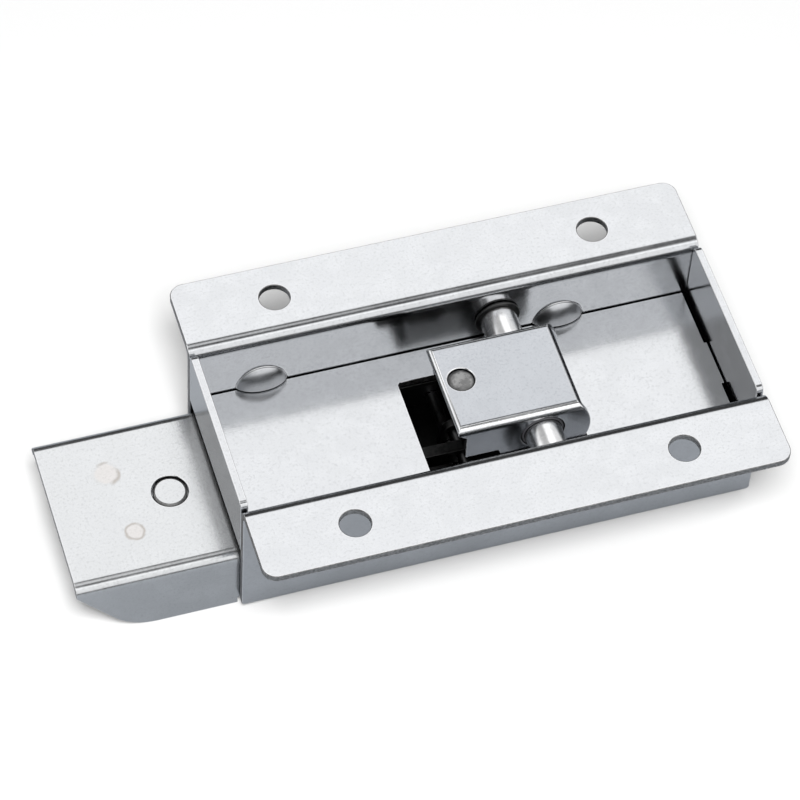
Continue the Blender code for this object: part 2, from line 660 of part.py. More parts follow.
def make_solenoid_frame(mats):
    """A U bracket under the carrier's top: the ends hold the core and guide the plunger."""
    profile = [(FRAME_LEFT, FRAME_BOTTOM), (FRAME_LEFT, FRAME_TOP), (FRAME_RIGHT, FRAME_TOP),
               (FRAME_RIGHT, FRAME_BOTTOM)]
    outline = bent_strip(profile[::-1], FRAME_SHEET, (0.0005, 0.0005))
    frame = prism("solenoid_frame", [outline], "XZ", -FRAME_HALF, FRAME_HALF, mats["satin_plate"])
    cut(frame, rod("core_hole", (FRAME_LEFT, 0, AXIS_Z), "X", -0.003, 0.003, 0.0025 + GAP, segments=24))
    cut(frame, rod("guide_hole", (FRAME_RIGHT, 0, AXIS_Z), "X", -0.003, 0.003, PLUNGER_RADIUS + GAP))
    cut(frame, rod("web_hole", (SEAM_RIVET_X, 0, FRAME_TOP), "Z", -0.004, 0.004, 0.0028 + GAP,
                   segments=24))
    return frame


def make_core(mats):
    inside = FRAME_LEFT + FRAME_SHEET + GAP
    profile = [(FRAME_LEFT - 0.0008, 0), (FRAME_LEFT - 0.0008, 0.0022), (FRAME_LEFT - 0.0004, 0.0025),
               (inside, 0.0025), (inside, PLUNGER_RADIUS), (CORE_RIGHT, PLUNGER_RADIUS),
               (CORE_RIGHT - 0.0018, 0.0014), (CORE_RIGHT - 0.0018, 0)]
    return turned("fixed_core", (0, 0, AXIS_Z), "X", profile, mats["ground_steel"])


def coil_ends():
    return FRAME_LEFT + FRAME_SHEET + GAP, FRAME_RIGHT - FRAME_SHEET - GAP


def make_bobbin(mats):
    left, right = coil_ends()
    bore = PLUNGER_RADIUS + GAP
    profile = [(left, bore), (left, BOBBIN_RADIUS), (left + 0.001, BOBBIN_RADIUS),
               (left + 0.001, BOBBIN_TUBE), (right - 0.001, BOBBIN_TUBE),
               (right - 0.001, BOBBIN_RADIUS), (right, BOBBIN_RADIUS), (right, bore), (left, bore)]
    return turned("coil_bobbin", (0, 0, AXIS_Z), "X", profile, mats["bobbin_plastic"])


def make_winding(mats):
    left, right = coil_ends()
    return ring("coil_winding", (0, 0, AXIS_Z), "X", left + 0.001 + GAP, right - 0.001 - GAP,
                BOBBIN_TUBE + GAP, COIL_RADIUS, mats["copper_coil"])


def make_seam_rivet(mats):
    """Holds the solenoid frame to the carrier, flush on top."""
    profile = [(FRAME_TOP - FRAME_SHEET, 0), (FRAME_TOP - FRAME_SHEET, 0.0028),
               (CARRIER_UNDER - GAP / 2, 0.0028), (CARRIER_UNDER - GAP / 2, SEAM_RIVET_RADIUS),
               (CARRIER_TOP - 0.0001, SEAM_RIVET_RADIUS), (CARRIER_TOP - 0.0001, 0)]
    return turned("frame_rivet", (SEAM_RIVET_X, 0, 0), "Z", profile, mats["satin_plate"])


def make_terminal_block(mats):
    """Two-pole block beside the coil. Its wire entries face the carrier's open end."""
    low, high = Vector((-0.0955, 0.0112, TERMINAL_BOTTOM)), Vector((TERMINAL_RIGHT, 0.0196, FRAME_TOP))
    block = box("terminal_block", low, high, mats["black_plastic"])
    for y in TERMINAL_Y:
        cut(block, rod("wire_entry", (low.x, y, 0.0126), "X", -0.001, 0.009, 0.0012, segments=16))
        cut(block, rod("screw_well", (TERMINAL_X, y, low.z), "Z", -0.001, 0.0020, 0.0017, segments=20))
        cut(block, rod("screw_thread", (TERMINAL_X, y, low.z), "Z", 0.001, 0.0052, 0.0011, segments=16))
    return block


def make_terminal_screw(mats, name, y):
    profile = [(0.0005, 0), (0.0005, 0.0013), (0.0008, 0.0014), (0.0017, 0.0014), (0.0017, 0.0008),
               (0.0040, 0.0008), (0.0040, 0)]
    screw = turned(name, (TERMINAL_X, y, TERMINAL_BOTTOM), "Z", profile, mats["brass"], segments=20)
    cut(screw, box("driver_slot", (TERMINAL_X - 0.0003, y - 0.002, TERMINAL_BOTTOM),
                   (TERMINAL_X + 0.0003, y + 0.002, TERMINAL_BOTTOM + 0.0009)))
    return screw


def make_lead(mats, name, mat, start, end_y):
    """A coil lead: off the winding's side, round in a bow, and into the back of the terminal block."""
    start = Vector(start)
    radius = (end_y - start.y) / 2
    bow = [(p[0], p[1], start.z) for p in arc((start.x + 0.002, start.y + radius), radius,
                                              -math.pi / 2, math.pi / 2)]
    end = (TERMINAL_RIGHT + GAP, end_y, start.z)
    return wire(name, [tuple(start), *bow, end], 0.0005, mats[mat], sides=2)


def make_carrier_screw(mats, name, x, y):
    """Countersunk screw through the base into the carrier's foot."""
    profile = [(0.0002, 0), (0.0002, 0.0027), (0.0015, 0.0014), (0.0058, 0.0014), (0.0062, 0.0010),
               (0.0062, 0)]
    screw = turned(name, (x, y, 0), "Z", profile, mats["ground_steel"], segments=20)
    for low, high in (((x - 0.0016, y - 0.0003), (x + 0.0016, y + 0.0003)),
                      ((x - 0.0003, y - 0.0016), (x + 0.0003, y + 0.0016))):
        cut(screw, box("cross_slot", (*low, -0.001), (*high, 0.0011)))
    return screw


# ---------------------------------------------------------------- assembly

def main():
    clear_scene()
    new_collection(PARTS)
    new_collection(CUTTERS).hide_render = True
    mats = make_materials()
    sheet_parts = [make_housing(mats), make_inner_tray(mats), make_carrier(mats), make_keeper(mats)]
    make_keeper_stud(mats)
    for side, end in ((-1, "front"), (1, "back")):
        make_keeper_bush(mats, side, f"keeper_bush_{end}")
        make_pin_clip(mats, side, f"pin_clip_{end}")
    make_pivot_pin(mats)
    make_keeper_spring(mats)
    make_stop_pin(mats)
    sheet_parts += [make_pawl(mats), make_pull_link(mats), make_solenoid_frame(mats)]
    make_pawl_pin(mats)
    make_plunger(mats)
    make_link_pin(mats, "link_pin", LINK_PIN_X, PAWL_HALF + 0.0006)
    make_link_pin(mats, "plunger_pin", PLUNGER_PIN_X, PLUNGER_RADIUS - 0.0001)
    make_spring_clip(mats)
    make_plunger_spring(mats)
    make_core(mats)
    make_bobbin(mats)
    make_winding(mats)
    make_seam_rivet(mats)
    make_terminal_block(mats)
    for number, y in enumerate(TERMINAL_Y, 1):
        make_terminal_screw(mats, f"terminal_screw_{number}", y)
    make_lead(mats, "coil_lead_1", "lead_red", (-0.0775, 0.0055, 0.0142), TERMINAL_Y[0])
    make_lead(mats, "coil_lead_2", "lead_black", (-0.0775, 0.0075, 0.0112), TERMINAL_Y[1])
    corners = [(x, y) for x in FOOT_X for y in (-FOOT_Y, FOOT_Y)]
    for number, (x, y) in enumerate(corners, 1):
        make_carrier_screw(mats, f"carrier_screw_{number}", x, y)
    for obj in sheet_parts:
        sharpen(obj)


main()
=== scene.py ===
"""Looks of the electric door strike: finer meshes, plated-steel materials, floor, light and camera."""

import math

import bmesh
import bpy
from mathutils import Matrix, Vector


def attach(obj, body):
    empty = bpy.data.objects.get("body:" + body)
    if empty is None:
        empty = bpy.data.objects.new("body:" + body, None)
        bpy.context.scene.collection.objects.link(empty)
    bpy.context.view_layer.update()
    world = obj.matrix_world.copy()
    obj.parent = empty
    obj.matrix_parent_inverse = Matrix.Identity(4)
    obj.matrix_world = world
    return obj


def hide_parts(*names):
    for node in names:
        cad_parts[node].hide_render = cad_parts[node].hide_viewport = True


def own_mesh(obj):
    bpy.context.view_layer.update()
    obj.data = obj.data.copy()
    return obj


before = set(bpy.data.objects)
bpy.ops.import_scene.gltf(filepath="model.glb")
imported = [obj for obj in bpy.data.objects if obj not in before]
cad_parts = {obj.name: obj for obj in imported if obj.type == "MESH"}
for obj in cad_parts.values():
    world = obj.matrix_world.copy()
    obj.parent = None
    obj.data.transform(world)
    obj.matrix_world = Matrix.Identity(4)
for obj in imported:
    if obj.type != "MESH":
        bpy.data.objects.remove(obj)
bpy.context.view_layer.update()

# ---------------------------------------------------------------- dimensions, in metres, as in the CAD

GAP = 0.0003  # between pieces that touch

SHEET = 0.0018
BOX_END = 0.0635
BOX_DEPTH = 0.040
BOX_HALF = 0.0243
WALL_INSIDE = BOX_HALF - SHEET
FLANGE_HALF = 0.043
FLANGE_BEND = 0.0015
BASE_BEND = 0.0014
BOX_CORNER = 0.0035
RIM_CORNER = 0.0016
END_WALL_ROOT = 0.050
END_RELIEF = 0.0585
INSET = 0.00002  # keeps the end wall's faces off the base's, so that the two join cleanly
HOLE_X = 0.0397
HOLE_Y = 0.0335
HOLE_RADIUS = 0.0037
DIMPLE_X = (-0.0458, 0.0286)
DIMPLE_SIZE = (0.0066, 0.0026, 0.0065)  # half length, depth, rise

DECK_TOP = 0.0223
DECK_UNDER = DECK_TOP - SHEET
DECK_HALF = WALL_INSIDE - GAP
DECK_BEND = 0.0006
DECK_END = 0.0607
TAB_HALF = 0.0063
CUTOUT = (Vector((-0.0144, -0.014)), Vector((0.0245, 0.014)))
CUTOUT_CORNER = 0.0008

CARRIER_SHEET = 0.0015
CARRIER_TOP = 0.0194
CARRIER_UNDER = CARRIER_TOP - CARRIER_SHEET
CARRIER_HALF = 0.0219
CARRIER_BEND = 0.0015
CARRIER_LEFT = -0.1023
CARRIER_RIGHT = 0.034
CORNER_X = -0.083
CORNER_RADIUS = 0.013
CORNER_ANGLE = math.radians(52)
FOOT_X = (-0.052, 0.0275)
FOOT_Y = 0.0165
FOOT_LENGTH = 0.012
FOOT_BOTTOM = SHEET + GAP
SPACER_X = (-0.052, 0.0295)
SPACER_RADIUS = 0.003
SCREW_RADIUS = 0.0014
RIVET_X = -0.0743
RIVET_RADIUS = 0.0041
RIVET_SHANK = 0.0028
SPOT_WELDS = ((-0.0875, 0.0087, 0.0031), (-0.0851, -0.0090, 0.0023))  # x, y, radius

PIVOT = Vector((0.0128, 0, 0.0288))
PIN_RADIUS = 0.0045
PIN_PROUD = 0.0008
CLIP_GROOVE = 0.0039
CLIP_OUTER = 0.0056
CLIP_THICKNESS = 0.0005
KEEPER_SHEET = 0.0015
KEEPER_TOP = 0.0361
KEEPER_HALF = 0.013
KEEPER_BEND = 0.0006
KEEPER_LEFT = -0.0083
KEEPER_ROLL = 0.0014  # rounds the left edge, which is square in the CAD
LEG_LEFT = -0.0062
LEG_BOTTOM = 0.0253
CAM_X = 0.0132
CAM_Z = 0.0279
CAM_RADIUS = 0.0115
BUSH_RADIUS = 0.0051
BUSH_FLANGE = 0.0056
STUD = (-0.0032, 0.0016)
STUD_RADIUS = 0.0030
STUD_COLLAR = 0.0044
STOP = PIVOT - Vector((0, 0, 0.0087))
STOP_RADIUS = 0.002

PAWL = Vector((-0.0030, 0, 0.0050))
PAWL_PIN_RADIUS = 0.0016
PAWL_HUB = 0.0029
PAWL_HALF = 0.0075
PAWL_WEB = 0.002
FORK_REACH = 0.0115
STROKE = 0.0018
AXIS_Z = 0.0093
LINK_HALF = 0.0016
LINK_HEIGHT = 0.0046
LINK_PIN_X = PAWL.x + STROKE / 2
LINK_PIN_RADIUS = 0.00125
PLUNGER_RADIUS = 0.0032
PLUNGER_LEFT = -0.0837
PLUNGER_RIGHT = -0.055
PLUNGER_PIN_X = -0.0575
CLIP_X = -0.0605
CLIP_HALF = 0.00035

FRAME_SHEET = 0.0016
FRAME_LEFT = -0.097
FRAME_RIGHT = -0.066
FRAME_HALF = 0.0105
FRAME_TOP = CARRIER_UNDER - GAP
FRAME_BOTTOM = 0.0016
FRAME_BEND = 0.0005
CORE_SHANK = 0.0025
CORE_RIGHT = -0.0858
COIL_RADIUS = 0.0063
BOBBIN_RADIUS = 0.0066
BOBBIN_TUBE = 0.0041
BOBBIN_RIM = 0.001
TERMINAL_LOW = Vector((-0.0955, 0.0112, 0.0088))
TERMINAL_HIGH = Vector((-0.0800, 0.0196, FRAME_TOP))
TERMINAL_X = -0.0905
TERMINAL_Y = (0.0133, 0.0175)
ENTRY_Z = 0.0126
LEAD_RADIUS = 0.0005

# ---------------------------------------------------------------- materials


class Nodes:
    """Short calls for wiring one material."""

    def __init__(self, name, metallic=1.0):
        self.mat = bpy.data.materials.new(name)
        self.mat.use_nodes = True
        self.tree = self.mat.node_tree
        self.shader = self.tree.nodes["Principled BSDF"]
        self.shader.inputs["Metallic"].default_value = metallic
        self.coords = self.tree.nodes.new("ShaderNodeTexCoord").outputs["Object"]

    def set(self, target, value):
        if hasattr(value, "is_linked"):
            self.tree.links.new(value, target)
        else:
            target.default_value = value

    def make(self, kind, out=0, props=None, **inputs):
        node = self.tree.nodes.new(f"ShaderNode{kind}")
        for key, value in (props or {}).items():
            setattr(node, key, value)
        for key, value in inputs.items():
            key = key.replace("_", " ")
            self.set(node.inputs[int(key[1:]) if key[0] == "i" and key[1:].isdigit() else key], value)
        return node.outputs[out]

    def math(self, operation, first, second=0.0, clamp=False):
        return self.make("Math", props={"operation": operation, "use_clamp": clamp}, i0=first, i1=second)

    def noise(self, scale, detail=2.0, stretch=(1, 1, 1), rough=0.5):
        stretched = self.make("Mapping", Vector=self.coords, Scale=stretch)
        return self.make("TexNoise", Vector=stretched, Scale=scale, Detail=detail, Roughness=rough)

    def ramp(self, value, low, high, to_low=0.0, to_high=1.0):
        return self.make("MapRange", props={"interpolation_type": "SMOOTHSTEP"}, Value=value,
                         From_Min=low, From_Max=high, To_Min=to_low, To_Max=to_high)

    def mix(self, factor, first, second):
        node = self.tree.nodes.new("ShaderNodeMix")
        node.data_type = "RGBA"
        for target, value in ((node.inputs[0], factor), (node.inputs[6], first), (node.inputs[7], second)):
            self.set(target, value)
        return node.outputs[2]

    def bump(self, height, strength, distance=0.0001, normal=None):
        inputs = {"Height": height, "Strength": strength, "Distance": distance}
        if normal:
            inputs["Normal"] = normal
        return self.make("Bump", **inputs)

    def distance(self, point):
        return self.make("VectorMath", out=1, props={"operation": "DISTANCE"}, i0=self.coords, i1=point)

    def edge(self, radius):
        """About 1 along an edge and 0 on a flat."""
        rounded = self.make("Bevel", props={"samples": 4}, Radius=radius)
        flat = self.make("NewGeometry", out=1)
        apart = self.make("VectorMath", out=1, props={"operation": "DISTANCE"}, i0=rounded, i1=flat)
        return self.ramp(apart, 0.02, 0.22)

    def under_deck(self):
        """About 1 inside the box below the deck, where little light comes, and 0 elsewhere: the mask for
        painted shade.
        """
        node = self.tree.nodes.new("ShaderNodeSeparateXYZ")
        self.set(node.inputs[0], self.coords)
        x, y, z = node.outputs
        along = self.ramp(self.math("ABSOLUTE", x), BOX_END - 0.0004, BOX_END - 0.0002, 1.0, 0.0)
        across = self.ramp(self.math("ABSOLUTE", y), WALL_INSIDE + 0.0002, WALL_INSIDE + 0.0004, 1.0, 0.0)
        over = self.ramp(z, SHEET - 0.0004, SHEET - 0.0002)
        under = self.ramp(z, DECK_TOP - 0.0014, DECK_TOP - 0.0010, 1.0, 0.0)
        plan = self.math("MULTIPLY", along, across)
        return self.math("MULTIPLY", plan, self.math("MULTIPLY", over, under))

    def finish(self, **sockets):
        for key, value in sockets.items():
            self.set(self.shader.inputs[key.replace("_", " ")], value)
        return self.mat


def grey(value, tint=(1, 1, 1)):
    return (*(value * t for t in tint), 1)


def plated_sheet(name, base, grain, rough, spots=()):
    """Bright zinc plate on rolled sheet: faint grain, speckle, a few fine scratches and worn edges, with
    painted shade inside the box below the deck.
    """
    n = Nodes(name)
    along = tuple(0.04 if axis == grain else 1 for axis in "XYZ")
    rolling = n.noise(1100, 3, along, 0.6)
    speckle = n.noise(1500, 3, rough=0.7)
    mottle = n.noise(38, 3, rough=0.55)
    cloud = n.noise(150, 3, rough=0.6)
    thin = tuple(0.012 if axis == grain else 0.35 for axis in "XYZ")
    scratches = n.ramp(n.noise(420, 1, thin, 0.4), 0.70, 0.76)
    color = n.mix(n.ramp(mottle, 0.3, 0.7), (*(c * 0.95 for c in base), 1), (*base, 1))
    lighter = (*(min(1, c * 1.09) for c in base), 1)
    darker = (*(c * 0.78 for c in base), 1)
    color = n.mix(n.math("MULTIPLY", n.ramp(cloud, 0.42, 0.66), 0.5), color, lighter)
    color = n.mix(n.math("MULTIPLY", n.ramp(speckle, 0.5, 0.68), 0.5), color, darker)
    roughness = n.ramp(mottle, 0.3, 0.75, rough * 0.93, rough * 1.1)
    roughness = n.math("ADD", roughness, n.math("MULTIPLY", n.ramp(cloud, 0.35, 0.7), 0.03))
    roughness = n.math("ADD", roughness, n.math("MULTIPLY", scratches, 0.03))
    for x, y, radius in spots:
        apart = n.distance((x, y, CARRIER_TOP))
        wobble = n.math("MULTIPLY", n.math("SUBTRACT", n.noise(420, 2), 0.5), 0.0011)
        apart = n.math("ADD", apart, wobble)
        inside = n.ramp(apart, radius * 0.72, radius * 0.98, 1.0, 0.0)
        rim_out = n.ramp(apart, radius * 0.98, radius * 1.22, 1.0, 0.0)
        rim = n.math("SUBTRACT", rim_out, inside, clamp=True)
        color = n.mix(n.math("MULTIPLY", inside, 0.2), color, (0.63, 0.52, 0.44, 1))
        rim = n.math("MULTIPLY", rim, n.ramp(n.noise(170, 1), 0.42, 0.58, 0.05, 0.6))
        color = n.mix(rim, color, (0.30, 0.26, 0.22, 1))
    worn = n.edge(0.00035)
    color = n.mix(n.math("MULTIPLY", worn, 0.6), color, (0.86, 0.86, 0.87, 1))
    # Painted shade: surfaces inside the box below the deck are darkened almost to black, and made rougher.
    painted_shade_under_deck = n.under_deck()
    color = n.mix(n.math("MULTIPLY", painted_shade_under_deck, 0.93), color, grey(0.03))
    roughness = n.math("ADD", roughness, n.math("MULTIPLY", painted_shade_under_deck, 0.3))
    height = n.math("ADD", n.math("MULTIPLY", rolling, 0.5), n.math("MULTIPLY", speckle, 0.5))
    height = n.math("SUBTRACT", height, n.math("MULTIPLY", scratches, 0.3))
    normal = n.bump(height, 0.42, 0.00003, n.bump(cloud, 0.12, 0.0001))
    return n.finish(Base_Color=color, Roughness=roughness, Normal=normal)


def turned_metal(name, value, rough, axis, tint=(1, 1, 1.01)):
    """Ground or turned round stock, with fine rings round `axis`."""
    n = Nodes(name)
    stretch = tuple(1 if a == axis else 0.05 for a in "XYZ")
    rings = n.noise(2600, 2, stretch, 0.6)
    stain = n.noise(240, 3)
    color = n.mix(n.ramp(stain, 0.35, 0.7), grey(value * 0.86, tint), grey(value, tint))
    roughness = n.ramp(rings, 0.25, 0.75, rough * 0.9, rough * 1.15)
    return n.finish(Base_Color=color, Roughness=roughness, Normal=n.bump(rings, 0.07, 0.00001))


def sheared_steel(name):
    """The sheet's cut edges: duller and darker than the plate, with short tear marks. Also painted shade
    on the keeper's back leg.
    """
    n = Nodes(name)
    tears = n.noise(1900, 3, rough=0.65)
    color = n.mix(n.ramp(tears, 0.35, 0.68), grey(0.17), grey(0.36))
    return n.finish(Base_Color=color, Roughness=n.ramp(tears, 0.3, 0.7, 0.36, 0.52),
                    Normal=n.bump(tears, 0.3, 0.00003))


def cut_steel(name, value, rough):
    """Dark oiled steel with a little scale and lighter worn edges; also used as painted shade under the
    deck.
    """
    n = Nodes(name)
    scale = n.noise(700, 4, rough=0.65)
    worn = n.edge(0.0003)
    color = n.mix(n.ramp(scale, 0.35, 0.7), grey(value * 0.6), grey(value * 1.3))
    color = n.mix(n.math("MULTIPLY", worn, 0.6), color, grey(min(1, value * 3.2)))
    return n.finish(Base_Color=color, Roughness=n.ramp(scale, 0.3, 0.7, rough * 0.8, rough * 1.25),
                    Normal=n.bump(scale, 0.25, 0.00003))


def staked_steel(name):
    """The stud's end: mid-grey steel, mottled by the punch, darker round its rim."""
    n = Nodes(name)
    blot = n.noise(650, 3, rough=0.6)
    apart = n.distance((*STUD, KEEPER_TOP))
    rim = n.ramp(apart, STUD_RADIUS * 0.72, STUD_RADIUS * 0.98)
    color = n.mix(n.ramp(blot, 0.38, 0.62), grey(0.20), grey(0.42))
    color = n.mix(n.math("MULTIPLY", rim, 0.75), color, grey(0.13))
    return n.finish(Base_Color=color, Roughness=n.ramp(blot, 0.3, 0.7, 0.32, 0.5),
                    Normal=n.bump(blot, 0.5, 0.0001))


def moulded(name, color, rough, grain=900):
    """Moulded plastic: a fine even texture and slightly lighter edges."""
    n = Nodes(name, metallic=0.0)
    texture = n.noise(grain, 3)
    shade = n.noise(60, 3)
    lighter = tuple(min(1, c * 1.25 + 0.01) for c in color)
    mixed = n.mix(n.ramp(shade, 0.3, 0.7), (*color, 1), (*lighter, 1))
    return n.finish(Base_Color=mixed, Roughness=n.ramp(texture, 0.3, 0.7, rough * 0.85, rough * 1.15),
                    Normal=n.bump(texture, 0.25, 0.00004))


def enamelled_copper():
    n = Nodes("enamelled_copper")
    turns = n.noise(1500, 2, (1, 0.05, 0.05))
    blot = n.noise(120, 2)
    color = n.mix(n.ramp(blot, 0.3, 0.7), (0.46, 0.15, 0.06, 1), (0.66, 0.26, 0.11, 1))
    n.shader.inputs["Coat Weight"].default_value = 0.6
    n.shader.inputs["Coat Roughness"].default_value = 0.15
    return n.finish(Base_Color=color, Roughness=n.ramp(turns, 0.3, 0.7, 0.28, 0.42))


def make_materials():
    plate = (0.545, 0.555, 0.57)
    satin = (0.53, 0.54, 0.555)
    return {
        "housing": plated_sheet("plate_housing", plate, "X", 0.15),
        "tray": plated_sheet("plate_tray", plate, "X", 0.17),
        "keeper": plated_sheet("plate_keeper", (0.415, 0.43, 0.455), "Y", 0.18),
        "carrier": plated_sheet("plate_carrier", (0.565, 0.575, 0.585), "Y", 0.2, SPOT_WELDS),
        "bracket": plated_sheet("plate_bracket", satin, "Y", 0.28),
        "ground_y": turned_metal("ground_steel_y", 0.88, 0.24, "Y"),
        "ground_x": turned_metal("ground_steel_x", 0.70, 0.2, "X"),
        "ground_z": turned_metal("ground_steel_z", 0.68, 0.22, "Z"),
        "formed": plated_sheet("plate_formed", (0.48, 0.49, 0.505), "X", 0.30),
        # Painted highlight: a much lighter copy of the plate, for the keeper's top bends and rolled left
        # edge.
        "painted_highlight": plated_sheet("plate_painted_highlight", (0.80, 0.81, 0.82), "Y", 0.2),
        "sheared_and_painted_shade": sheared_steel("sheared_edge_and_painted_shade"),
        # Painted shade: a dark copy of ground steel, for the pins that sit in shade inside the box.
        "painted_shade_pin_y": turned_metal("ground_pin_painted_shade", 0.14, 0.4, "Y"),
        # Dark steel parts, and painted shade on the deck's underside.
        "dark": cut_steel("oiled_steel_and_painted_shade", 0.055, 0.42),
        "stud": staked_steel("staked_stud"),
        "black": moulded("black_nylon", (0.016, 0.016, 0.018), 0.5),
        "bobbin": moulded("natural_nylon", (0.72, 0.69, 0.58), 0.42),
        "copper": enamelled_copper(),
        "brass": turned_metal("brass_screw", 0.8, 0.28, "Z", (1, 0.74, 0.36)),
        "red": moulded("red_sleeve", (0.45, 0.02, 0.015), 0.42, 1500),
    }


# ---------------------------------------------------------------- shape helpers


def add(name, data):
    obj = bpy.data.objects.new(name, data)
    bpy.context.scene.collection.objects.link(obj)
    return obj


def from_bmesh(name, shape):
    data = bpy.data.meshes.new(name)
    shape.to_mesh(data)
    shape.free()
    return add(name, data)


def box(low, high):
    shape = bmesh.new()
    low, high = Vector(low), Vector(high)
    place = Matrix.Translation((low + high) / 2) @ Matrix.Diagonal((*(high - low), 1))
    bmesh.ops.create_cube(shape, size=1, matrix=place)
    return from_bmesh("box", shape)


def arc(center, radius, start, end, degrees):
    """Points on a circle between two angles in radians, in steps of at most so many degrees."""
    count = max(2, math.ceil(abs(end - start) / math.radians(degrees)))
    angles = [start + (end - start) * i / count for i in range(count + 1)]
    return [(center[0] + radius * math.cos(a), center[1] + radius * math.sin(a)) for a in angles]


AXES = {
    "X": Matrix.Rotation(math.pi / 2, 4, "Y"),
    "Y": Matrix.Rotation(-math.pi / 2, 4, "X"),
    "Z": Matrix.Identity(4),
}


def turned(center, axis, profile, segments=64):
    """Turned from (distance along the axis, radius) pairs."""
    shape = bmesh.new()
    points = [shape.verts.new((radius, 0, along)) for along, radius in profile]
    edges = [shape.edges.new(pair) for pair in zip(points, points[1:])]
    bmesh.ops.spin(shape, geom=points + edges, axis=(0, 0, 1), cent=(0, 0, 0), steps=segments,
                   angle=2 * math.pi)
    bmesh.ops.remove_doubles(shape, verts=shape.verts, dist=1e-7)
    bmesh.ops.recalc_face_normals(shape, faces=shape.faces)
    bmesh.ops.transform(shape, matrix=Matrix.Translation(center) @ AXES[axis], verts=shape.verts)
    return from_bmesh("turned", shape)


def rod(center, axis, start, end, radius, chamfer=0.0, segments=64):
    profile = [(start, 0), (start, radius - chamfer)]
    if chamfer:
        profile += [(start + chamfer, radius), (end - chamfer, radius), (end, radius - chamfer)]
    else:
        profile.append((end, radius))
    return turned(center, axis, profile + [(end, 0)], segments)


def prism(outline, plane, low, high):
    """One face over the outline, extruded along the third axis."""
    middle = (low + high) / 2
    place = {
        "XY": Matrix.Translation((0, 0, middle)),
        "XZ": Matrix.Translation((0, middle, 0)) @ Matrix.Rotation(math.pi / 2, 4, "X"),
        "YZ": Matrix.Translation((middle, 0, 0)) @ Matrix.Rotation(math.pi / 2, 4, "Z")
        @ Matrix.Rotation(math.pi / 2, 4, "X"),
    }[plane]
    shape = bmesh.new()
    half = (high - low) / 2
    loops = [[shape.verts.new(place @ Vector((*p, end))) for p in outline] for end in (-half, half)]
    for loop in loops:
        shape.faces.new(loop)
    for i in range(len(outline)):
        j = (i + 1) % len(outline)
        shape.faces.new((loops[0][i], loops[0][j], loops[1][j], loops[1][i]))
    bmesh.ops.recalc_face_normals(shape, faces=shape.faces)
    return from_bmesh("prism", shape)


def wire(points, radius, sides):
    """Round wire along the points, with flat ends."""
    curve = bpy.data.curves.new("wire", "CURVE")
    curve.dimensions = "3D"
    curve.bevel_depth = radius
    curve.bevel_resolution = sides
    curve.use_fill_caps = True
    spline = curve.splines.new("POLY")
    spline.points.add(len(points) - 1)
    for target, point in zip(spline.points, points):
        target.co = (*point, 1)
    holder = add("wire", curve)
    graph = bpy.context.evaluated_depsgraph_get()
    data = bpy.data.meshes.new_from_object(holder.evaluated_get(graph))
    bpy.data.objects.remove(holder)
    shape = bmesh.new()
    shape.from_mesh(data)
    bmesh.ops.remove_doubles(shape, verts=shape.verts, dist=1e-7)
    bmesh.ops.recalc_face_normals(shape, faces=shape.faces)
    shape.to_mesh(data)
    shape.free()
    return add("wire", data)


def bent_strip(corners, thickness, bends):
    """The closed outline of a folded strip; the sheet is on the left of the line through the corners."""
    points = [Vector(p) for p in corners]
    start = (points[1] - points[0]).normalized()
    near, far = [points[0]], [points[0] + thickness * Vector((-start.y, start.x))]
    for before, corner, after, bend in zip(points, points[1:], points[2:], bends):
        into, out = (corner - before).normalized(), (after - corner).normalized()
        turn = math.atan2(into.cross(out), into.dot(out))
        side = math.copysign(1, turn)
        near_radius = bend + (thickness if side > 0 else 0)
        far_radius = bend + (0 if side > 0 else thickness)
        reach = near_radius * math.tan(abs(turn) / 2)
        center = corner - reach * into + side * near_radius * Vector((-into.y, into.x))
        first = math.atan2(-side * into.x, side * into.y)
        for radius, line in ((near_radius, near), (far_radius, far)):
            line += [Vector(p) for p in arc(center, radius, first, first + turn, 7.5)]
    end = (points[-1] - points[-2]).normalized()
    near.append(points[-1])
    far.append(points[-1] + thickness * Vector((-end.y, end.x)))
    return [tuple(p) for p in near + far[::-1]]


def rounded(low, high, radius):
    """A rectangle with round corners."""
    outline = []
    for quarter, (x, y) in enumerate(((1, 1), (0, 1), (0, 0), (1, 0))):
        corner = Vector(((low, high)[x][0], (low, high)[y][1]))
        inward = Vector((-radius if x else radius, -radius if y else radius))
        outline += arc(corner + inward, radius, quarter * math.pi / 2, (quarter + 1) * math.pi / 2, 6)
    return outline


def combine(obj, operation, others):
    for other in others:
        step = obj.modifiers.new("combine", "BOOLEAN")
        step.operation = operation
        step.solver = "EXACT"
        step.object = other
    graph = bpy.context.evaluated_depsgraph_get()
    data = bpy.data.meshes.new_from_object(obj.evaluated_get(graph))
    obj.modifiers.clear()
    obj.data = data
    for other in others:
        bpy.data.objects.remove(other)
    return obj


def cut(obj, *others):
    return combine(obj, "DIFFERENCE", others)


def join(obj, *others):
    return combine(obj, "UNION", others)


def keep(obj, *others):
    return combine(obj, "INTERSECT", others)


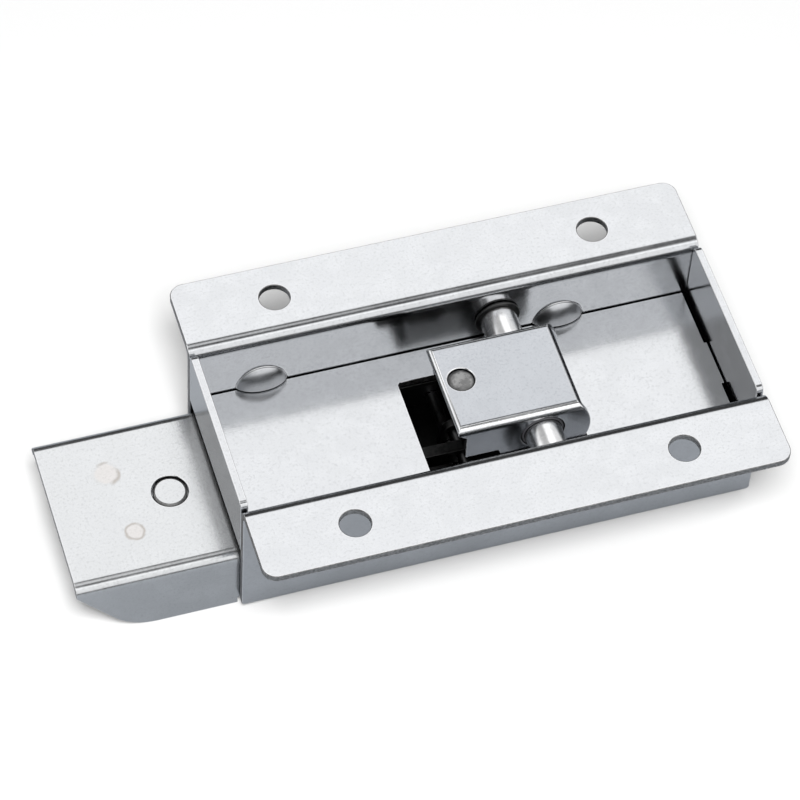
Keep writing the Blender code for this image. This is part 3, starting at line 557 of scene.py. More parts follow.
def soften(obj, width, angle=35, leave=None):
    """Rounds the sharp edges a little, as deburring does, and shades the rest smooth.

    `leave` takes an edge's middle and tells whether that edge stays as it is.
    """
    shape = bmesh.new()
    shape.from_mesh(obj.data)
    bmesh.ops.remove_doubles(shape, verts=shape.verts, dist=2e-6)
    flat = math.radians(0.3)
    bmesh.ops.dissolve_limit(shape, angle_limit=flat, verts=shape.verts, edges=shape.edges)
    weights = shape.edges.layers.float.new("bevel_weight_edge")
    for edge in shape.edges:
        sharp = edge.calc_face_angle(0) > math.radians(angle)
        if sharp and not (leave and leave((edge.verts[0].co + edge.verts[1].co) / 2)):
            edge[weights] = 1
    shape.to_mesh(obj.data)
    shape.free()
    if width:
        bevel = obj.modifiers.new("bevel", "BEVEL")
        bevel.width = width
        bevel.segments = 2
        bevel.limit_method = "WEIGHT"
        bevel.use_clamp_overlap = False
        bevel.miter_outer = "MITER_ARC"
    weighted = obj.modifiers.new("weighted", "WEIGHTED_NORMAL")
    weighted.keep_sharp = True
    obj.data.shade_smooth()
    obj.data.set_sharp_from_angle(angle=math.radians(angle))
    graph = bpy.context.evaluated_depsgraph_get()
    data = bpy.data.meshes.new_from_object(obj.evaluated_get(graph))
    obj.modifiers.clear()
    obj.data = data
    return obj


def place(obj, name, mat, slot, body, node=None, width=0.0, angle=35, leave=None):
    """Names and softens a piece, gives it its material, its body and the node it stands for."""
    obj.name = name
    obj.data.name = name
    soften(obj, width, angle, leave)
    obj.data.materials.clear()
    obj.data.materials.append(MATS[mat])
    for polygon in obj.data.polygons:
        polygon.material_index = 0
    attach(obj, body)
    if node:
        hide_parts(node)
    return obj


def recoat(obj, mat, *tests):
    """Gives some faces another metal. Each test takes a face's middle and its normal."""
    obj.data.materials.append(MATS[mat])
    for polygon in obj.data.polygons:
        if any(test(polygon.center, polygon.normal) for test in tests):
            polygon.material_index = len(obj.data.materials) - 1


# ---------------------------------------------------------------- sheet-metal pieces


def dimple(x, side, shrink, outer, lift):
    """A half ball pushed in from y = outer, with its flat side just over the deck."""
    shape = bmesh.new()
    half, depth, rise = DIMPLE_SIZE
    reach = (half - shrink, outer - WALL_INSIDE + depth - shrink, rise - shrink)
    bmesh.ops.create_uvsphere(shape, u_segments=48, v_segments=24, radius=1)
    turn = Matrix.Rotation(math.pi / 2, 4, "X")
    where = Matrix.Translation((x, side * outer, DECK_TOP + lift))
    bmesh.ops.transform(shape, matrix=where @ Matrix.Diagonal((*reach, 1)) @ turn, verts=shape.verts)
    for point, normal in (((0, 0, DECK_TOP + lift), (0, 0, -1)), ((0, side * outer, 0), (0, side, 0))):
        found = bmesh.ops.bisect_plane(shape, geom=shape.verts[:] + shape.edges[:] + shape.faces[:],
                                       plane_co=point, plane_no=normal, clear_outer=True)
        edges = [g for g in found["geom_cut"] if isinstance(g, bmesh.types.BMEdge)]
        bmesh.ops.holes_fill(shape, edges=edges)
    bmesh.ops.recalc_face_normals(shape, faces=shape.faces)
    return from_bmesh("dimple", shape)


def make_housing():
    profile = [(FLANGE_HALF, BOX_DEPTH), (WALL_INSIDE, BOX_DEPTH), (WALL_INSIDE, SHEET),
               (-WALL_INSIDE, SHEET), (-WALL_INSIDE, BOX_DEPTH), (-FLANGE_HALF, BOX_DEPTH)]
    outline = bent_strip(profile, SHEET, (FLANGE_BEND, BASE_BEND, BASE_BEND, FLANGE_BEND))
    housing = prism(outline, "YZ", -BOX_END, BOX_END)
    plan = rounded((-BOX_END, -FLANGE_HALF), (BOX_END, FLANGE_HALF), BOX_CORNER)
    side = rounded((-BOX_END, 0), (BOX_END, 2 * BOX_DEPTH), BOX_CORNER)
    keep(housing, prism(plan, "XY", -0.01, BOX_DEPTH + 0.01), prism(side, "XZ", -0.06, 0.06))
    cutters = [rod((x, y, BOX_DEPTH), "Z", -0.005, 0.005, HOLE_RADIUS)
               for x in (-HOLE_X, HOLE_X) for y in (-HOLE_Y, HOLE_Y)]
    cutters += [rod((PIVOT.x, y, PIVOT.z), "Y", -0.005, 0.005, PIN_RADIUS + GAP)
                for y in (-BOX_HALF, BOX_HALF)]
    sink = [(-0.001, 0), (-0.001, 0.0042), (0.0014, 0.0018), (0.005, 0.0018), (0.005, 0)]
    cutters += [turned((x, y, 0), "Z", sink, 48) for x in FOOT_X for y in (-FOOT_Y, FOOT_Y)]
    relief = WALL_INSIDE - GAP / 3
    cutters.append(box((END_RELIEF, -relief, -0.001), (BOX_END + 0.001, relief, BOX_CORNER + INSET)))
    cut(housing, *cutters)
    join(housing, end_wall())
    sides = [(x, side) for x in DIMPLE_X for side in (-1, 1)]
    join(housing, *(dimple(x, side, 0, WALL_INSIDE + SHEET / 2, GAP) for x, side in sides))
    cut(housing, *(dimple(x, side, SHEET, BOX_HALF + 0.004, -GAP) for x, side in sides))
    place(housing, "housing_sheet", "housing", "bright_plate", "box", "housing", 0.0002,
          leave=lambda c: c.x > 0.045 and c.z < 0.004)
    wall_end, flange_rim = BOX_END - 0.0005, BOX_HALF + 0.001
    recoat(housing, "sheared_and_painted_shade",
           lambda c, n: abs(c.y) > flange_rim and c.z > BOX_DEPTH - SHEET and abs(n.z) < 0.3,
           lambda c, n: abs(n.x) > 0.9 and abs(c.x) > wall_end and (c.x < 0 or abs(c.y) > DECK_HALF),
           lambda c, n: abs(c.y) > flange_rim and c.z > BOX_DEPTH - GAP and 0.2 < n.z < 0.98)
    recoat(housing, "formed",
           lambda c, n: abs(c.y) < WALL_INSIDE - 0.0001 and c.z > DECK_TOP
           and min(abs(c.x - x) for x in DIMPLE_X) < DIMPLE_SIZE[0] + GAP)


def end_wall():
    """The right end wall, with its bend and the strip of base that it grows from."""
    profile = [(END_WALL_ROOT, INSET), (BOX_END, INSET), (BOX_END, BOX_DEPTH)]
    half = WALL_INSIDE - GAP
    wall = prism(bent_strip(profile, SHEET - 2 * INSET, (BASE_BEND,)), "XZ", -half, half)
    rim = rounded((-half, -BOX_DEPTH), (half, BOX_DEPTH), RIM_CORNER)
    return keep(wall, prism(rim, "YZ", 0, 0.08))


def make_tray():
    profile = [(-BOX_END, BOX_DEPTH), (-BOX_END, DECK_UNDER), (BOX_END - SHEET - GAP, DECK_UNDER)]
    tray = prism(bent_strip(profile, SHEET, (DECK_BEND,)), "XZ", -DECK_HALF, DECK_HALF)
    rim = rounded((-DECK_HALF, 0), (DECK_HALF, BOX_DEPTH), RIM_CORNER)
    keep(tray, prism(rim, "YZ", -0.08, 0.08))
    cutters = [prism(rounded(*CUTOUT, CUTOUT_CORNER), "XY", DECK_UNDER - 0.003, DECK_TOP + 0.003)]
    for side in (-1, 1):
        near, far = sorted((side * TAB_HALF, side * (DECK_HALF + 0.002)))
        cutters.append(box((DECK_END, near, DECK_UNDER - 0.004), (BOX_END, far, DECK_TOP + 0.004)))
    cut(tray, *cutters)
    place(tray, "inner_tray_sheet", "tray", "bright_plate", "box", "inner_tray", 0.00014)
    recoat(tray, "sheared_and_painted_shade", lambda c, n: abs(n.z) < 0.3 and DECK_UNDER < c.z < DECK_TOP and c.x > -0.06)
    # Painted shade: the deck's underside and the bend under the left wall take the dark steel colour.
    recoat(tray, "dark", lambda c, n: n.z < -0.25)


def make_carrier():
    profile = [(CARRIER_HALF, 0), (CARRIER_HALF, CARRIER_TOP), (-CARRIER_HALF, CARRIER_TOP),
               (-CARRIER_HALF, 0)]
    outline = bent_strip(profile, CARRIER_SHEET, (CARRIER_BEND, CARRIER_BEND))
    carrier = prism(outline, "YZ", CARRIER_LEFT, CARRIER_RIGHT)
    cut(carrier, box((-BOX_END - GAP, -0.03, -0.01), (0.05, 0.03, FOOT_BOTTOM)), corner_cutter())
    corners = [(x, y) for x in FOOT_X for y in (-FOOT_Y, FOOT_Y)]
    join(carrier, *(foot(x, math.copysign(1, y)) for x, y in corners))
    grow = Vector((GAP, GAP))
    hole = rounded(CUTOUT[0] - grow, CUTOUT[1] + grow, CUTOUT_CORNER)
    cut(carrier, prism(hole, "XY", CARRIER_UNDER - 0.003, CARRIER_TOP + 0.003))
    tongue = box((PIVOT.x + STOP_RADIUS + GAP, -0.006, CARRIER_UNDER),
                 (CUTOUT[1].x + 0.002, 0.006, CARRIER_TOP))
    spacers = [rod((x, y, 0), "Z", CARRIER_UNDER + GAP, DECK_UNDER - GAP, SPACER_RADIUS, segments=48)
               for x in SPACER_X for y in (-FOOT_Y, FOOT_Y)]
    join(carrier, tongue, *spacers)
    holes = [rod((RIVET_X, 0, CARRIER_TOP), "Z", -0.005, 0.005, RIVET_RADIUS + GAP),
             rod(PAWL, "Y", -0.03, 0.03, PAWL_PIN_RADIUS + GAP, segments=32)]
    holes += [rod((x, y, SHEET), "Z", -0.001, 0.004, SCREW_RADIUS + GAP, segments=32) for x, y in corners]
    cut(carrier, *holes)
    place(carrier, "solenoid_channel", "carrier", "satin_plate", "box", "solenoid_carrier", 0.00014)
    low_edge = CARRIER_UNDER - 0.003
    recoat(carrier, "sheared_and_painted_shade", lambda c, n: n.x < -0.9 and c.x < CARRIER_LEFT + 0.0005,
           lambda c, n: abs(n.y) < 0.3 and abs(c.y) > CARRIER_HALF - CARRIER_SHEET and c.z < low_edge)


def corner_cutter():
    """Takes the lower outer corner off the carrier's sides: a slope that runs into an arc."""
    curve = arc((CORNER_X, CORNER_RADIUS), CORNER_RADIUS, -math.pi / 2, -math.pi / 2 - CORNER_ANGLE, 4)
    last = Vector(curve[-1])
    slope = Vector((-math.cos(CORNER_ANGLE), math.sin(CORNER_ANGLE)))
    top = last + slope * (last.x - CARRIER_LEFT + 0.001) / math.cos(CORNER_ANGLE)
    return prism(curve + [tuple(top), (top.x, -0.002), (CORNER_X, -0.002)], "XZ", -0.03, 0.03)


def foot(x, side):
    """A tab folded in under the carrier."""
    near, far = sorted((side * (FOOT_Y - 0.004), side * (CARRIER_HALF - CARRIER_SHEET / 2)))
    half, top = FOOT_LENGTH / 2, FOOT_BOTTOM + CARRIER_SHEET
    return box((x - half, near, FOOT_BOTTOM), (x + half, far, top))


def make_keeper():
    profile = [(KEEPER_HALF, 0), (KEEPER_HALF, KEEPER_TOP), (-KEEPER_HALF, KEEPER_TOP), (-KEEPER_HALF, 0)]
    outline = bent_strip(profile, KEEPER_SHEET, (KEEPER_BEND, KEEPER_BEND))
    keeper = prism(outline, "YZ", KEEPER_LEFT - 0.001, CAM_X + CAM_RADIUS + 0.001)
    rise = math.asin((KEEPER_TOP - CAM_Z) / CAM_RADIUS)
    drop = math.asin((CAM_Z - LEG_BOTTOM) / CAM_RADIUS)
    cam = arc((CAM_X, CAM_Z), CAM_RADIUS, math.pi + drop, 2 * math.pi + rise, 2.5)
    roll_end = KEEPER_LEFT + KEEPER_ROLL
    lip = arc((roll_end, KEEPER_TOP - KEEPER_ROLL + 0.00003), KEEPER_ROLL, math.pi / 2, math.pi, 7.5)
    side = [(roll_end, KEEPER_TOP + 0.001), *lip, (KEEPER_LEFT, KEEPER_TOP - 0.0018)]
    side += [(LEG_LEFT, KEEPER_TOP - 0.0034), (LEG_LEFT, LEG_BOTTOM), *cam]
    side.append((cam[-1][0], KEEPER_TOP + 0.001))
    keep(keeper, prism(side, "XZ", -0.02, 0.02))
    cut(keeper, rod(PIVOT, "Y", -0.02, 0.02, BUSH_RADIUS + GAP),
        rod(STOP, "Y", -0.02, 0.02, STOP_RADIUS + GAP, segments=40),
        rod((*STUD, KEEPER_TOP), "Z", -0.003, 0.003, STUD_RADIUS + GAP))
    place(keeper, "keeper_channel", "keeper", "bright_plate", "keeper_assembly", "keeper", 0.00018)
    bend_low = KEEPER_TOP - KEEPER_SHEET - KEEPER_BEND
    # Painted highlight: the keeper's top bends and its rolled left edge take the much lighter plate
    # colour.
    recoat(keeper, "painted_highlight",
           lambda c, n: 0.15 < n.z < 0.98 and abs(n.y) > 0.15 and c.z > bend_low,
           lambda c, n: 0.1 < n.z < 0.98 and n.x < -0.15 and c.x < roll_end)
    # Painted shade: the back leg's outer face takes the dark cut-edge colour.
    recoat(keeper, "sheared_and_painted_shade", lambda c, n: n.y > 0.9 and c.y > KEEPER_HALF - GAP)


def make_solenoid_frame():
    profile = [(FRAME_RIGHT, FRAME_BOTTOM), (FRAME_RIGHT, FRAME_TOP), (FRAME_LEFT, FRAME_TOP),
               (FRAME_LEFT, FRAME_BOTTOM)]
    outline = bent_strip(profile, FRAME_SHEET, (FRAME_BEND, FRAME_BEND))
    bracket = prism(outline, "XZ", -FRAME_HALF, FRAME_HALF)
    cut(bracket, rod((FRAME_LEFT, 0, AXIS_Z), "X", -0.003, 0.003, CORE_SHANK + GAP, segments=40),
        rod((FRAME_RIGHT, 0, AXIS_Z), "X", -0.003, 0.003, PLUNGER_RADIUS + GAP),
        rod((RIVET_X, 0, FRAME_TOP), "Z", -0.004, 0.004, RIVET_SHANK + GAP, segments=40))
    place(bracket, "solenoid_bracket", "bracket", "satin_plate", "box", "solenoid_frame", 0.00012)


# ---------------------------------------------------------------- pivot, clips and springs


def make_pivot():
    end, right = BOX_HALF + PIN_PROUD, WALL_INSIDE - GAP / 2
    left = right - CLIP_THICKNESS - GAP
    half = [(left, PIN_RADIUS), (left, CLIP_GROOVE), (right, CLIP_GROOVE), (right, PIN_RADIUS),
            (end - 0.0006, PIN_RADIUS), (end - 0.0002, PIN_RADIUS - 0.0002),
            (end, PIN_RADIUS - 0.0006), (end, 0)]
    pin = turned(PIVOT, "Y", [(-a, r) for a, r in reversed(half)] + half, 96)
    place(pin, "pivot_pin_turned", "ground_y", "ground_steel", "box", "pivot_pin", 0.00006)
    for side, which in ((-1, "front"), (1, "back")):
        make_bush(side, which)
        make_pin_clip(side, which)
    stop = rod(STOP, "Y", -KEEPER_HALF - 0.0004, KEEPER_HALF + 0.0004, STOP_RADIUS, 0.0003, 48)
    # The stop pin takes the dark copy of ground steel: painted shade.
    place(stop, "stop_pin_turned", "painted_shade_pin_y", "ground_steel", "keeper_assembly", "stop_pin")


def make_bush(side, which):
    flange, bore = KEEPER_HALF - KEEPER_SHEET - GAP, PIN_RADIUS + GAP / 2
    profile = [(flange - 0.001, bore), (flange - 0.001, BUSH_FLANGE), (flange, BUSH_FLANGE),
               (flange, BUSH_RADIUS), (KEEPER_HALF, BUSH_RADIUS), (KEEPER_HALF, bore),
               (flange - 0.001, bore)]
    bush = turned(PIVOT, "Y", [(side * a, r) for a, r in profile], 96)
    place(bush, f"bush_{which}", "black", "black_plastic", "keeper_assembly",
          f"keeper_bush_{which}", 0.00008)


def make_pin_clip(side, which):
    clip = prism(open_ring(PIVOT.x, PIVOT.z, CLIP_GROOVE + 0.0002, CLIP_OUTER, 35, 4), "XZ",
                 *sorted((side * (WALL_INSIDE - GAP - CLIP_THICKNESS), side * (WALL_INSIDE - GAP))))
    place(clip, f"clip_{which}", "dark", "dark_steel", "box", f"pin_clip_{which}", 0.00008)


def open_ring(across, up, inner, outer, half_opening, degrees):
    """The outline of a ring that is open at the bottom."""
    opening = math.radians(half_opening)
    start, end = -math.pi / 2 + opening, 1.5 * math.pi - opening
    return arc((across, up), outer, start, end, degrees) + arc((across, up), inner, end, start, degrees)


def make_stud():
    """The staked stud: its end is a little hollow, and a collar holds it under the plate."""
    under, rim, collar = -KEEPER_SHEET - GAP, STUD_RADIUS, STUD_COLLAR
    profile = [(-0.0046, 0), (-0.0046, 0.0028), (-0.0040, rim), (under - 0.0012, rim),
               (under - 0.0012, collar - 0.0002), (under - 0.0010, collar), (under, collar), (under, rim),
               (-0.00045, rim), (-0.0003, rim - 0.0003), (-0.0002, rim - 0.0008), (-0.00025, 0.0012),
               (-0.00035, 0)]
    stud = turned((*STUD, KEEPER_TOP), "Z", profile, 72)
    place(stud, "keeper_stud_staked", "stud", "dark_steel", "keeper_assembly", "keeper_stud")


def make_keeper_spring():
    """The coil stays with the box. Its last few steps, with the leg on them, go with the keeper."""
    radius, coil, pitch, turn_steps = 0.0004, 0.0051, 0.0011, 32
    rest = Vector((0.0062, -0.0089))
    start = math.atan2(rest.y, rest.x) - math.acos(coil / rest.length)
    end = math.pi / 2 - 16 * math.pi
    turns = (start - end) / (2 * math.pi)
    width = pitch * turns
    steps = round(turn_steps * turns)
    points = [(rest.x, -width / 2, rest.y)]
    for i in range(steps + 1):
        angle = start + (end - start) * i / steps
        points.append((coil * math.cos(angle), width * (i / steps - 0.5), coil * math.sin(angle)))
    points.append((0.0072, width / 2, coil))
    points = [tuple(PIVOT + Vector(p)) for p in points]
    split = steps - 6
    coil_part, leg_part = wire(points[:split + 1], radius, 3), wire(points[split:], radius, 3)
    place(coil_part, "keeper_spring_coil", "dark", "dark_steel", "box", "keeper_spring")
    place(leg_part, "keeper_spring_leg", "dark", "dark_steel", "keeper_assembly")


def make_plunger_spring():
    """A compression spring whose end turns lie closer together."""
    turns, steps, coil, radius = 5.5, 36, 0.0042, 0.0003
    low, high = FRAME_RIGHT + radius + 0.0001, CLIP_X - CLIP_HALF - radius - 0.0001
    points = []
    for i in range(round(turns * steps) + 1):
        share = i / (turns * steps)
        angle = 2 * math.pi * i / steps
        flat_ends = 3 * share ** 2 - 2 * share ** 3
        points.append((low + (high - low) * (0.35 * share + 0.65 * flat_ends), coil * math.cos(angle),
                       AXIS_Z + coil * math.sin(angle)))
    spring = wire(points, radius, 3)
    place(spring, "plunger_spring_coil", "ground_x", "ground_steel", "box", "plunger_spring")
    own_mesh(spring)


# ---------------------------------------------------------------- pawl, link and plunger


def make_pawl():
    """The forked lever, with its nose just under the stop pin at rest."""
    reach = STOP - PAWL
    swing = 2 * math.atan2(STROKE / 2, AXIS_Z - PAWL.z)
    toward = math.atan2(reach.z, reach.x) - swing
    nose = arc((PAWL.x, PAWL.z), reach.length - STOP_RADIUS - GAP, toward - math.radians(8),
               toward + math.radians(5), 1)
    tail = arc((LINK_PIN_X, AXIS_Z), PAWL_HUB, math.radians(60), math.pi, 5)
    hub = arc((PAWL.x, PAWL.z), PAWL_HUB, math.pi, math.radians(290), 5)
    pawl = prism(nose + tail + hub, "XZ", -PAWL_HALF, PAWL_HALF)
    fork = PAWL_HALF - PAWL_WEB
    cut(pawl, rod(PAWL, "Y", -fork, fork, FORK_REACH),
        rod(PAWL, "Y", -0.02, 0.02, PAWL_PIN_RADIUS + GAP / 2, segments=40),
        rod((LINK_PIN_X, 0, AXIS_Z), "Y", -0.02, 0.02, LINK_PIN_RADIUS + GAP, segments=40))
    place(pawl, "pawl_fork", "dark", "dark_steel", "pawl", "locking_pawl", 0.00018)
    pin = rod(PAWL, "Y", -WALL_INSIDE + GAP, WALL_INSIDE - GAP, PAWL_PIN_RADIUS, 0.0003, 40)
    place(pin, "pawl_pin_turned", "ground_y", "ground_steel", "box", "pawl_pin")


def make_link():
    body, half = "plunger_assembly", LINK_HEIGHT / 2
    left = arc((PLUNGER_PIN_X, AXIS_Z), half, math.pi / 2, 1.5 * math.pi, 6)
    right = arc((LINK_PIN_X, AXIS_Z), half, -math.pi / 2, math.pi / 2, 6)
    bar = prism(left + right, "XZ", -LINK_HALF, LINK_HALF)
    cut(bar, *(link_hole(x) for x in (PLUNGER_PIN_X, LINK_PIN_X)))
    place(bar, "pull_bar", "dark", "dark_steel", body, "pull_link", 0.00014)
    # The link and plunger pins take the dark copy of ground steel: painted shade.
    for name, x, length in (("link_pin", LINK_PIN_X, PAWL_HALF + 0.0006),
                            ("plunger_pin", PLUNGER_PIN_X, PLUNGER_RADIUS - 0.0001)):
        pin = rod((x, 0, AXIS_Z), "Y", -length, length, LINK_PIN_RADIUS, 0.0002, 40)
        place(pin, f"{name}_turned", "painted_shade_pin_y", "ground_steel", body, name)


def link_hole(x):
    return rod((x, 0, AXIS_Z), "Y", -0.005, 0.005, LINK_PIN_RADIUS + GAP / 2, segments=40)


def make_plunger():
    """The moving core, slotted for the link, and the clip in its groove."""
    body, radius, groove = "plunger_assembly", PLUNGER_RADIUS, (CLIP_X - 0.0005, CLIP_X + 0.0005)
    profile = [(PLUNGER_LEFT, 0), (PLUNGER_LEFT, radius - 0.0012), (PLUNGER_LEFT + 0.002, radius),
               (groove[0], radius), (groove[0], radius - 0.0007), (groove[1], radius - 0.0007),
               (groove[1], radius), (PLUNGER_RIGHT - 0.0003, radius), (PLUNGER_RIGHT, radius - 0.0003),
               (PLUNGER_RIGHT, 0)]
    plunger = turned((0, 0, AXIS_Z), "X", profile, 72)
    slot = LINK_HALF + GAP
    cut(plunger, box((CLIP_X + 0.0006, -slot, 0), (-0.05, slot, 0.02)), link_hole(PLUNGER_PIN_X))
    place(plunger, "plunger_turned", "ground_x", "ground_steel", body, "plunger", 0.0001)
    clip = prism(open_ring(0, AXIS_Z, radius - 0.0005, 0.0053, 30, 5), "YZ", CLIP_X - CLIP_HALF,
                 CLIP_X + CLIP_HALF)
    place(clip, "spring_clip_stamped", "dark", "dark_steel", body, "spring_clip", 0.00008)


# ---------------------------------------------------------------- solenoid and wiring


def make_solenoid():
    left, right = FRAME_LEFT + FRAME_SHEET + GAP, FRAME_RIGHT - FRAME_SHEET - GAP
    axis = (0, 0, AXIS_Z)
    core = [(FRAME_LEFT - 0.0008, 0), (FRAME_LEFT - 0.0008, 0.0019), (FRAME_LEFT - 0.0006, 0.0023),
            (FRAME_LEFT - 0.0003, CORE_SHANK), (left, CORE_SHANK), (left, PLUNGER_RADIUS),
            (CORE_RIGHT, PLUNGER_RADIUS), (CORE_RIGHT - 0.0018, 0.0014), (CORE_RIGHT - 0.0018, 0)]
    place(turned(axis, "X", core, 64), "fixed_core_turned", "ground_x", "ground_steel", "box",
          "fixed_core", 0.00008)
    bore, low, high = PLUNGER_RADIUS + GAP, left + BOBBIN_RIM, right - BOBBIN_RIM
    bobbin = [(left, bore), (left, BOBBIN_RADIUS), (low, BOBBIN_RADIUS), (low, BOBBIN_TUBE),
              (high, BOBBIN_TUBE), (high, BOBBIN_RADIUS), (right, BOBBIN_RADIUS), (right, bore),
              (left, bore)]
    place(turned(axis, "X", bobbin, 72), "bobbin_moulded", "bobbin", "bobbin_plastic", "box",
          "coil_bobbin", 0.00012)
    place(turned(axis, "X", winding_outline(low + GAP, high - GAP), 64), "winding_turns", "copper",
          "copper_coil", "box", "coil_winding", 0, 80)
    make_rivet()


def winding_outline(low, high):
    """The coil's section: a ring whose outside follows the rounded turns of wire."""
    pitch, wire_radius, inner = 0.0006, 0.0003, BOBBIN_TUBE + GAP
    count = int((high - low) / pitch)
    turn = (high - low) / count
    outline = [(low, inner)]
    for i in range(count):
        middle = low + (i + 0.5) * turn
        outline += [(middle + turn * s, COIL_RADIUS - wire_radius * (1 - math.cos(s * math.pi)))
                    for s in (-0.5, -0.25, 0, 0.25)]
    return outline + [(high, COIL_RADIUS - wire_radius), (high, inner), (low, inner)]


def make_rivet():
    """Flush on top, with a dull chamfer that shows as a dark ring."""
    ring = RIVET_RADIUS - 0.0004
    foot_z, shoulder, flush = FRAME_TOP - FRAME_SHEET, CARRIER_UNDER - GAP / 2, CARRIER_TOP - 0.0001
    profile = [(foot_z, 0), (foot_z, RIVET_SHANK), (shoulder, RIVET_SHANK), (shoulder, RIVET_RADIUS),
               (CARRIER_TOP - 0.0006, RIVET_RADIUS), (CARRIER_TOP - 0.0002, ring),
               (flush, ring - 0.0002), (flush, 0)]
    head = place(turned((RIVET_X, 0, 0), "Z", profile, 96), "frame_rivet_head", "carrier", "satin_plate",
                 "box", "frame_rivet")
    recoat(head, "sheared_and_painted_shade", lambda c, n: math.hypot(c.x - RIVET_X, c.y) > ring - 0.0003)


def make_terminals():
    low, high = TERMINAL_LOW, TERMINAL_HIGH
    block = box(low, high)
    middle = sum(TERMINAL_Y) / 2
    cutters = [box((low.x - 0.001, middle - 0.00015, low.z - 0.001),
                   (high.x + 0.001, middle + 0.00015, low.z + 0.0016))]
    for y in TERMINAL_Y:
        cutters += [rod((low.x, y, ENTRY_Z), "X", -0.001, 0.009, 0.0012, segments=32),
                    rod((TERMINAL_X, y, low.z), "Z", -0.001, 0.0020, 0.0017, segments=40),
                    rod((TERMINAL_X, y, low.z), "Z", 0.001, 0.0052, 0.0011, segments=32)]
    cut(block, *cutters)
    place(block, "terminal_housing", "black", "black_plastic", "box", "terminal_block", 0.0002)
    head, shank = 0.0014, 0.0008
    profile = [(0.0005, 0), (0.0005, head - 0.0002), (0.0007, head), (0.0017, head), (0.0017, shank),
               (0.0040, shank), (0.0040, 0)]
    for number, y in enumerate(TERMINAL_Y, 1):
        screw = turned((TERMINAL_X, y, low.z), "Z", profile, 40)
        cut(screw, box((TERMINAL_X - 0.0003, y - 0.002, low.z),
                       (TERMINAL_X + 0.0003, y + 0.002, low.z + 0.0009)))
        place(screw, f"terminal_screw_head_{number}", "brass", "brass", "box", f"terminal_screw_{number}",
              0.00005)


def make_leads():
    """Two leads, from the winding's side in a bow into the back of the terminal block."""
    starts = (("red", 0.0055, 0.0142), ("black", 0.0075, 0.0112))
    for number, ((color, y, z), end_y) in enumerate(zip(starts, TERMINAL_Y), 1):
        reach = (end_y - y) / 2
        bow = arc((-0.0755, y + reach), reach, -math.pi / 2, math.pi / 2, 6)
        points = [(-0.0775, y), *bow, (TERMINAL_HIGH.x + GAP, end_y)]
        lead = wire([(along, across, z) for along, across in points], LEAD_RADIUS, 5)
        place(lead, f"coil_lead_sleeve_{number}", color, f"lead_{color}", "box", f"coil_lead_{number}")


def make_screws():
    """Countersunk cross-slot screws with a run of thread."""
    corners = [(x, y) for x in FOOT_X for y in (-FOOT_Y, FOOT_Y)]
    for number, (x, y) in enumerate(corners, 1):
        shank = SCREW_RADIUS
        profile = [(0.0002, 0), (0.0002, 0.0026), (0.0003, 0.0027), (0.0015, shank), (0.0020, shank)]
        thread = 0.0024
        while thread < 0.0057:
            profile += [(thread, shank), (thread + 0.0002, 0.00118), (thread + 0.0004, shank)]
            thread += 0.0005
        profile += [(0.0062, 0.0010), (0.0062, 0)]
        screw = turned((x, y, 0), "Z", profile, 40)
        cut(screw, *(box((x - a, y - b, -0.001), (x + a, y + b, 0.0011))
                     for a, b in ((0.0016, 0.0003), (0.0003, 0.0016))))
        place(screw, f"base_screw_{number}", "ground_z", "ground_steel", "box", f"carrier_screw_{number}",
              0.00004)


# ---------------------------------------------------------------- stage, light and camera


def make_floor():
    """A pale sheet of paper, dimmer in the metal's reflections than to the camera."""
    shape = bmesh.new()
    bmesh.ops.create_grid(shape, x_segments=1, y_segments=1, size=3)
    floor = from_bmesh("floor", shape)
    n = Nodes("floor_paper", metallic=0.0)
    mirrored = n.make("LightPath", out=3)  # its output "Is Glossy Ray"
    n.finish(Base_Color=n.mix(mirrored, grey(0.285), (0.131, 0.138, 0.147, 1)), Roughness=0.9)
    floor.data.materials.append(n.mat)


ROOM_LIGHT = 0.06
CEILING = math.radians(78)
CEILING_LIGHT = 1.3
SOFT_BOXES = (  # azimuth right of +Y, half width, lowest and highest elevation in degrees, brightness
    (90, 48, 3, 66, 0.9),
    (162, 58, 11, 45, 1.35),
    (162, 58, 45, 61, 1.8),
    (38, 52, 41, 65, 1.6),
    (-80, 34, 5, 64, 1.3),
    (-24, 24, 3, 30, 0.6),
    (-30, 22, 34, 64, 0.52),
)
BOX_EDGE = math.radians(5)


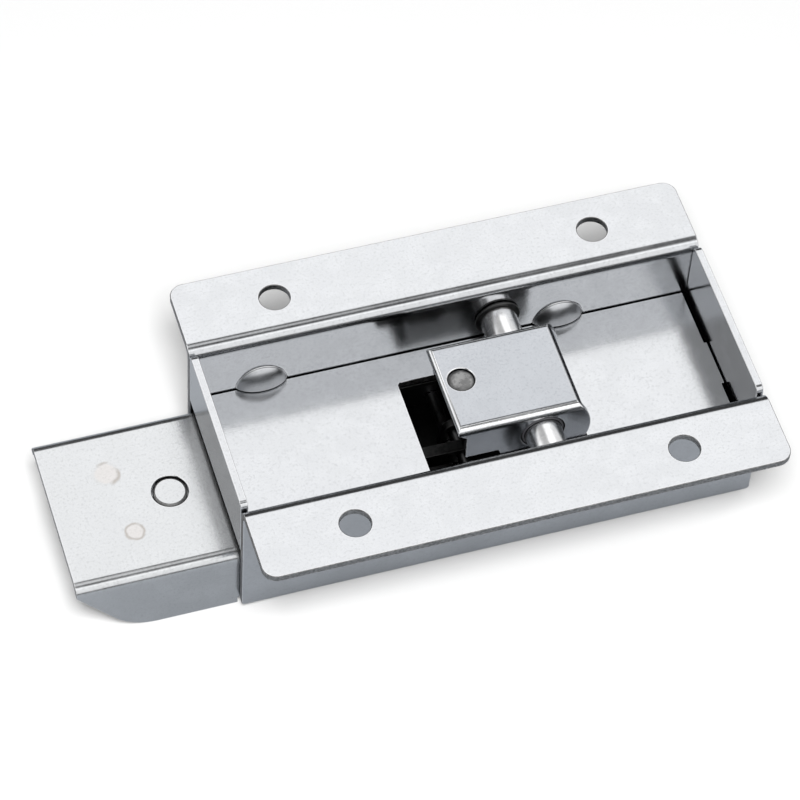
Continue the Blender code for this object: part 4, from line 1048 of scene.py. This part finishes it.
def make_world():
    """A dark studio with soft boxes all round, and one overhead."""
    world = bpy.data.worlds.new("studio")
    bpy.context.scene.world = world
    world.use_nodes = True
    tree = world.node_tree

    def step(operation, first, second=0.0):
        node = tree.nodes.new("ShaderNodeMath")
        node.operation = operation
        for socket, value in zip(node.inputs, (first, second)):
            if hasattr(value, "is_linked"):
                tree.links.new(value, socket)
            else:
                socket.default_value = value
        return node.outputs[0]

    def smooth(value, low, high):
        node = tree.nodes.new("ShaderNodeMapRange")
        node.interpolation_type = "SMOOTHSTEP"
        node.inputs["From Min"].default_value = low
        node.inputs["From Max"].default_value = high
        tree.links.new(value, node.inputs["Value"])
        return node.outputs[0]

    def blend(share, first, second):
        kept = step("MULTIPLY", step("SUBTRACT", 1.0, share), first)
        return step("ADD", kept, step("MULTIPLY", share, second))

    split = tree.nodes.new("ShaderNodeSeparateXYZ")
    tree.links.new(tree.nodes.new("ShaderNodeTexCoord").outputs["Generated"], split.inputs[0])
    x, y, height = split.outputs
    flat = step("SQRT", step("MAXIMUM", step("SUBTRACT", 1.0, step("MULTIPLY", height, height)), 1e-4))
    elevation = step("ARCSINE", height)
    light = ROOM_LIGHT
    for azimuth, half, low, high, bright in SOFT_BOXES:
        toward, half, low, high = (math.radians(a) for a in (azimuth, half, low, high))
        along = step("ADD", step("MULTIPLY", x, math.sin(toward)), step("MULTIPLY", y, math.cos(toward)))
        apart = step("ARCCOSINE", step("DIVIDE", along, flat))
        share = smooth(apart, half + BOX_EDGE, half - BOX_EDGE)
        share = step("MULTIPLY", share, smooth(elevation, low - BOX_EDGE, low + BOX_EDGE))
        share = step("MULTIPLY", share, smooth(elevation, high + BOX_EDGE, high - BOX_EDGE))
        light = blend(share, light, bright)
    light = blend(smooth(elevation, CEILING - BOX_EDGE, CEILING + BOX_EDGE), light, CEILING_LIGHT)
    background = tree.nodes["Background"]
    background.inputs[0].default_value = grey(1)
    tree.links.new(light, background.inputs[1])


def area_light(name, where, size, energy):
    """A square lamp aimed at the box's base, unseen in reflections."""
    data = bpy.data.lights.new(name, "AREA")
    data.shape = "RECTANGLE"
    data.size = data.size_y = size
    data.energy = energy
    light = add(name, data)
    light.visible_glossy = False
    light.location = where
    light.rotation_euler = (-Vector(where)).to_track_quat("-Z", "Y").to_euler()


def make_camera():
    """Long lens from the front left, well above, with a slight roll."""
    azimuth, elevation, roll = (math.radians(a) for a in (-20.35, 53.73, 4.16))
    back = Vector((math.sin(azimuth) * math.cos(elevation), -math.cos(azimuth) * math.cos(elevation),
                   math.sin(elevation)))
    right = Vector((math.cos(azimuth), math.sin(azimuth), 0))
    up = back.cross(right)
    across = math.cos(roll) * right + math.sin(roll) * up
    upward = -math.sin(roll) * right + math.cos(roll) * up
    data = bpy.data.cameras.new("camera")
    data.sensor_width = 36
    data.lens = 171.8
    camera = add("camera", data)
    where = -0.01804 * across - 0.00658 * upward + 0.89216 * back + Vector((0, 0, BOX_DEPTH))
    turn = Matrix((across, upward, back)).transposed().to_4x4()
    camera.matrix_world = Matrix.Translation(where) @ turn
    bpy.context.scene.camera = camera


MATS = make_materials()
make_housing()
make_tray()
make_carrier()
make_keeper()
make_solenoid_frame()
make_pivot()
make_stud()
make_keeper_spring()
make_plunger_spring()
make_pawl()
make_link()
make_plunger()
make_solenoid()
make_terminals()
make_leads()
make_screws()
make_floor()
make_world()
area_light("front", (-0.205, -0.564, 1.04), 0.35, 50)
area_light("back", (0.545, 0.545, 0.919), 0.8, 3)
make_camera()
bpy.context.scene.view_settings.view_transform = "Standard"
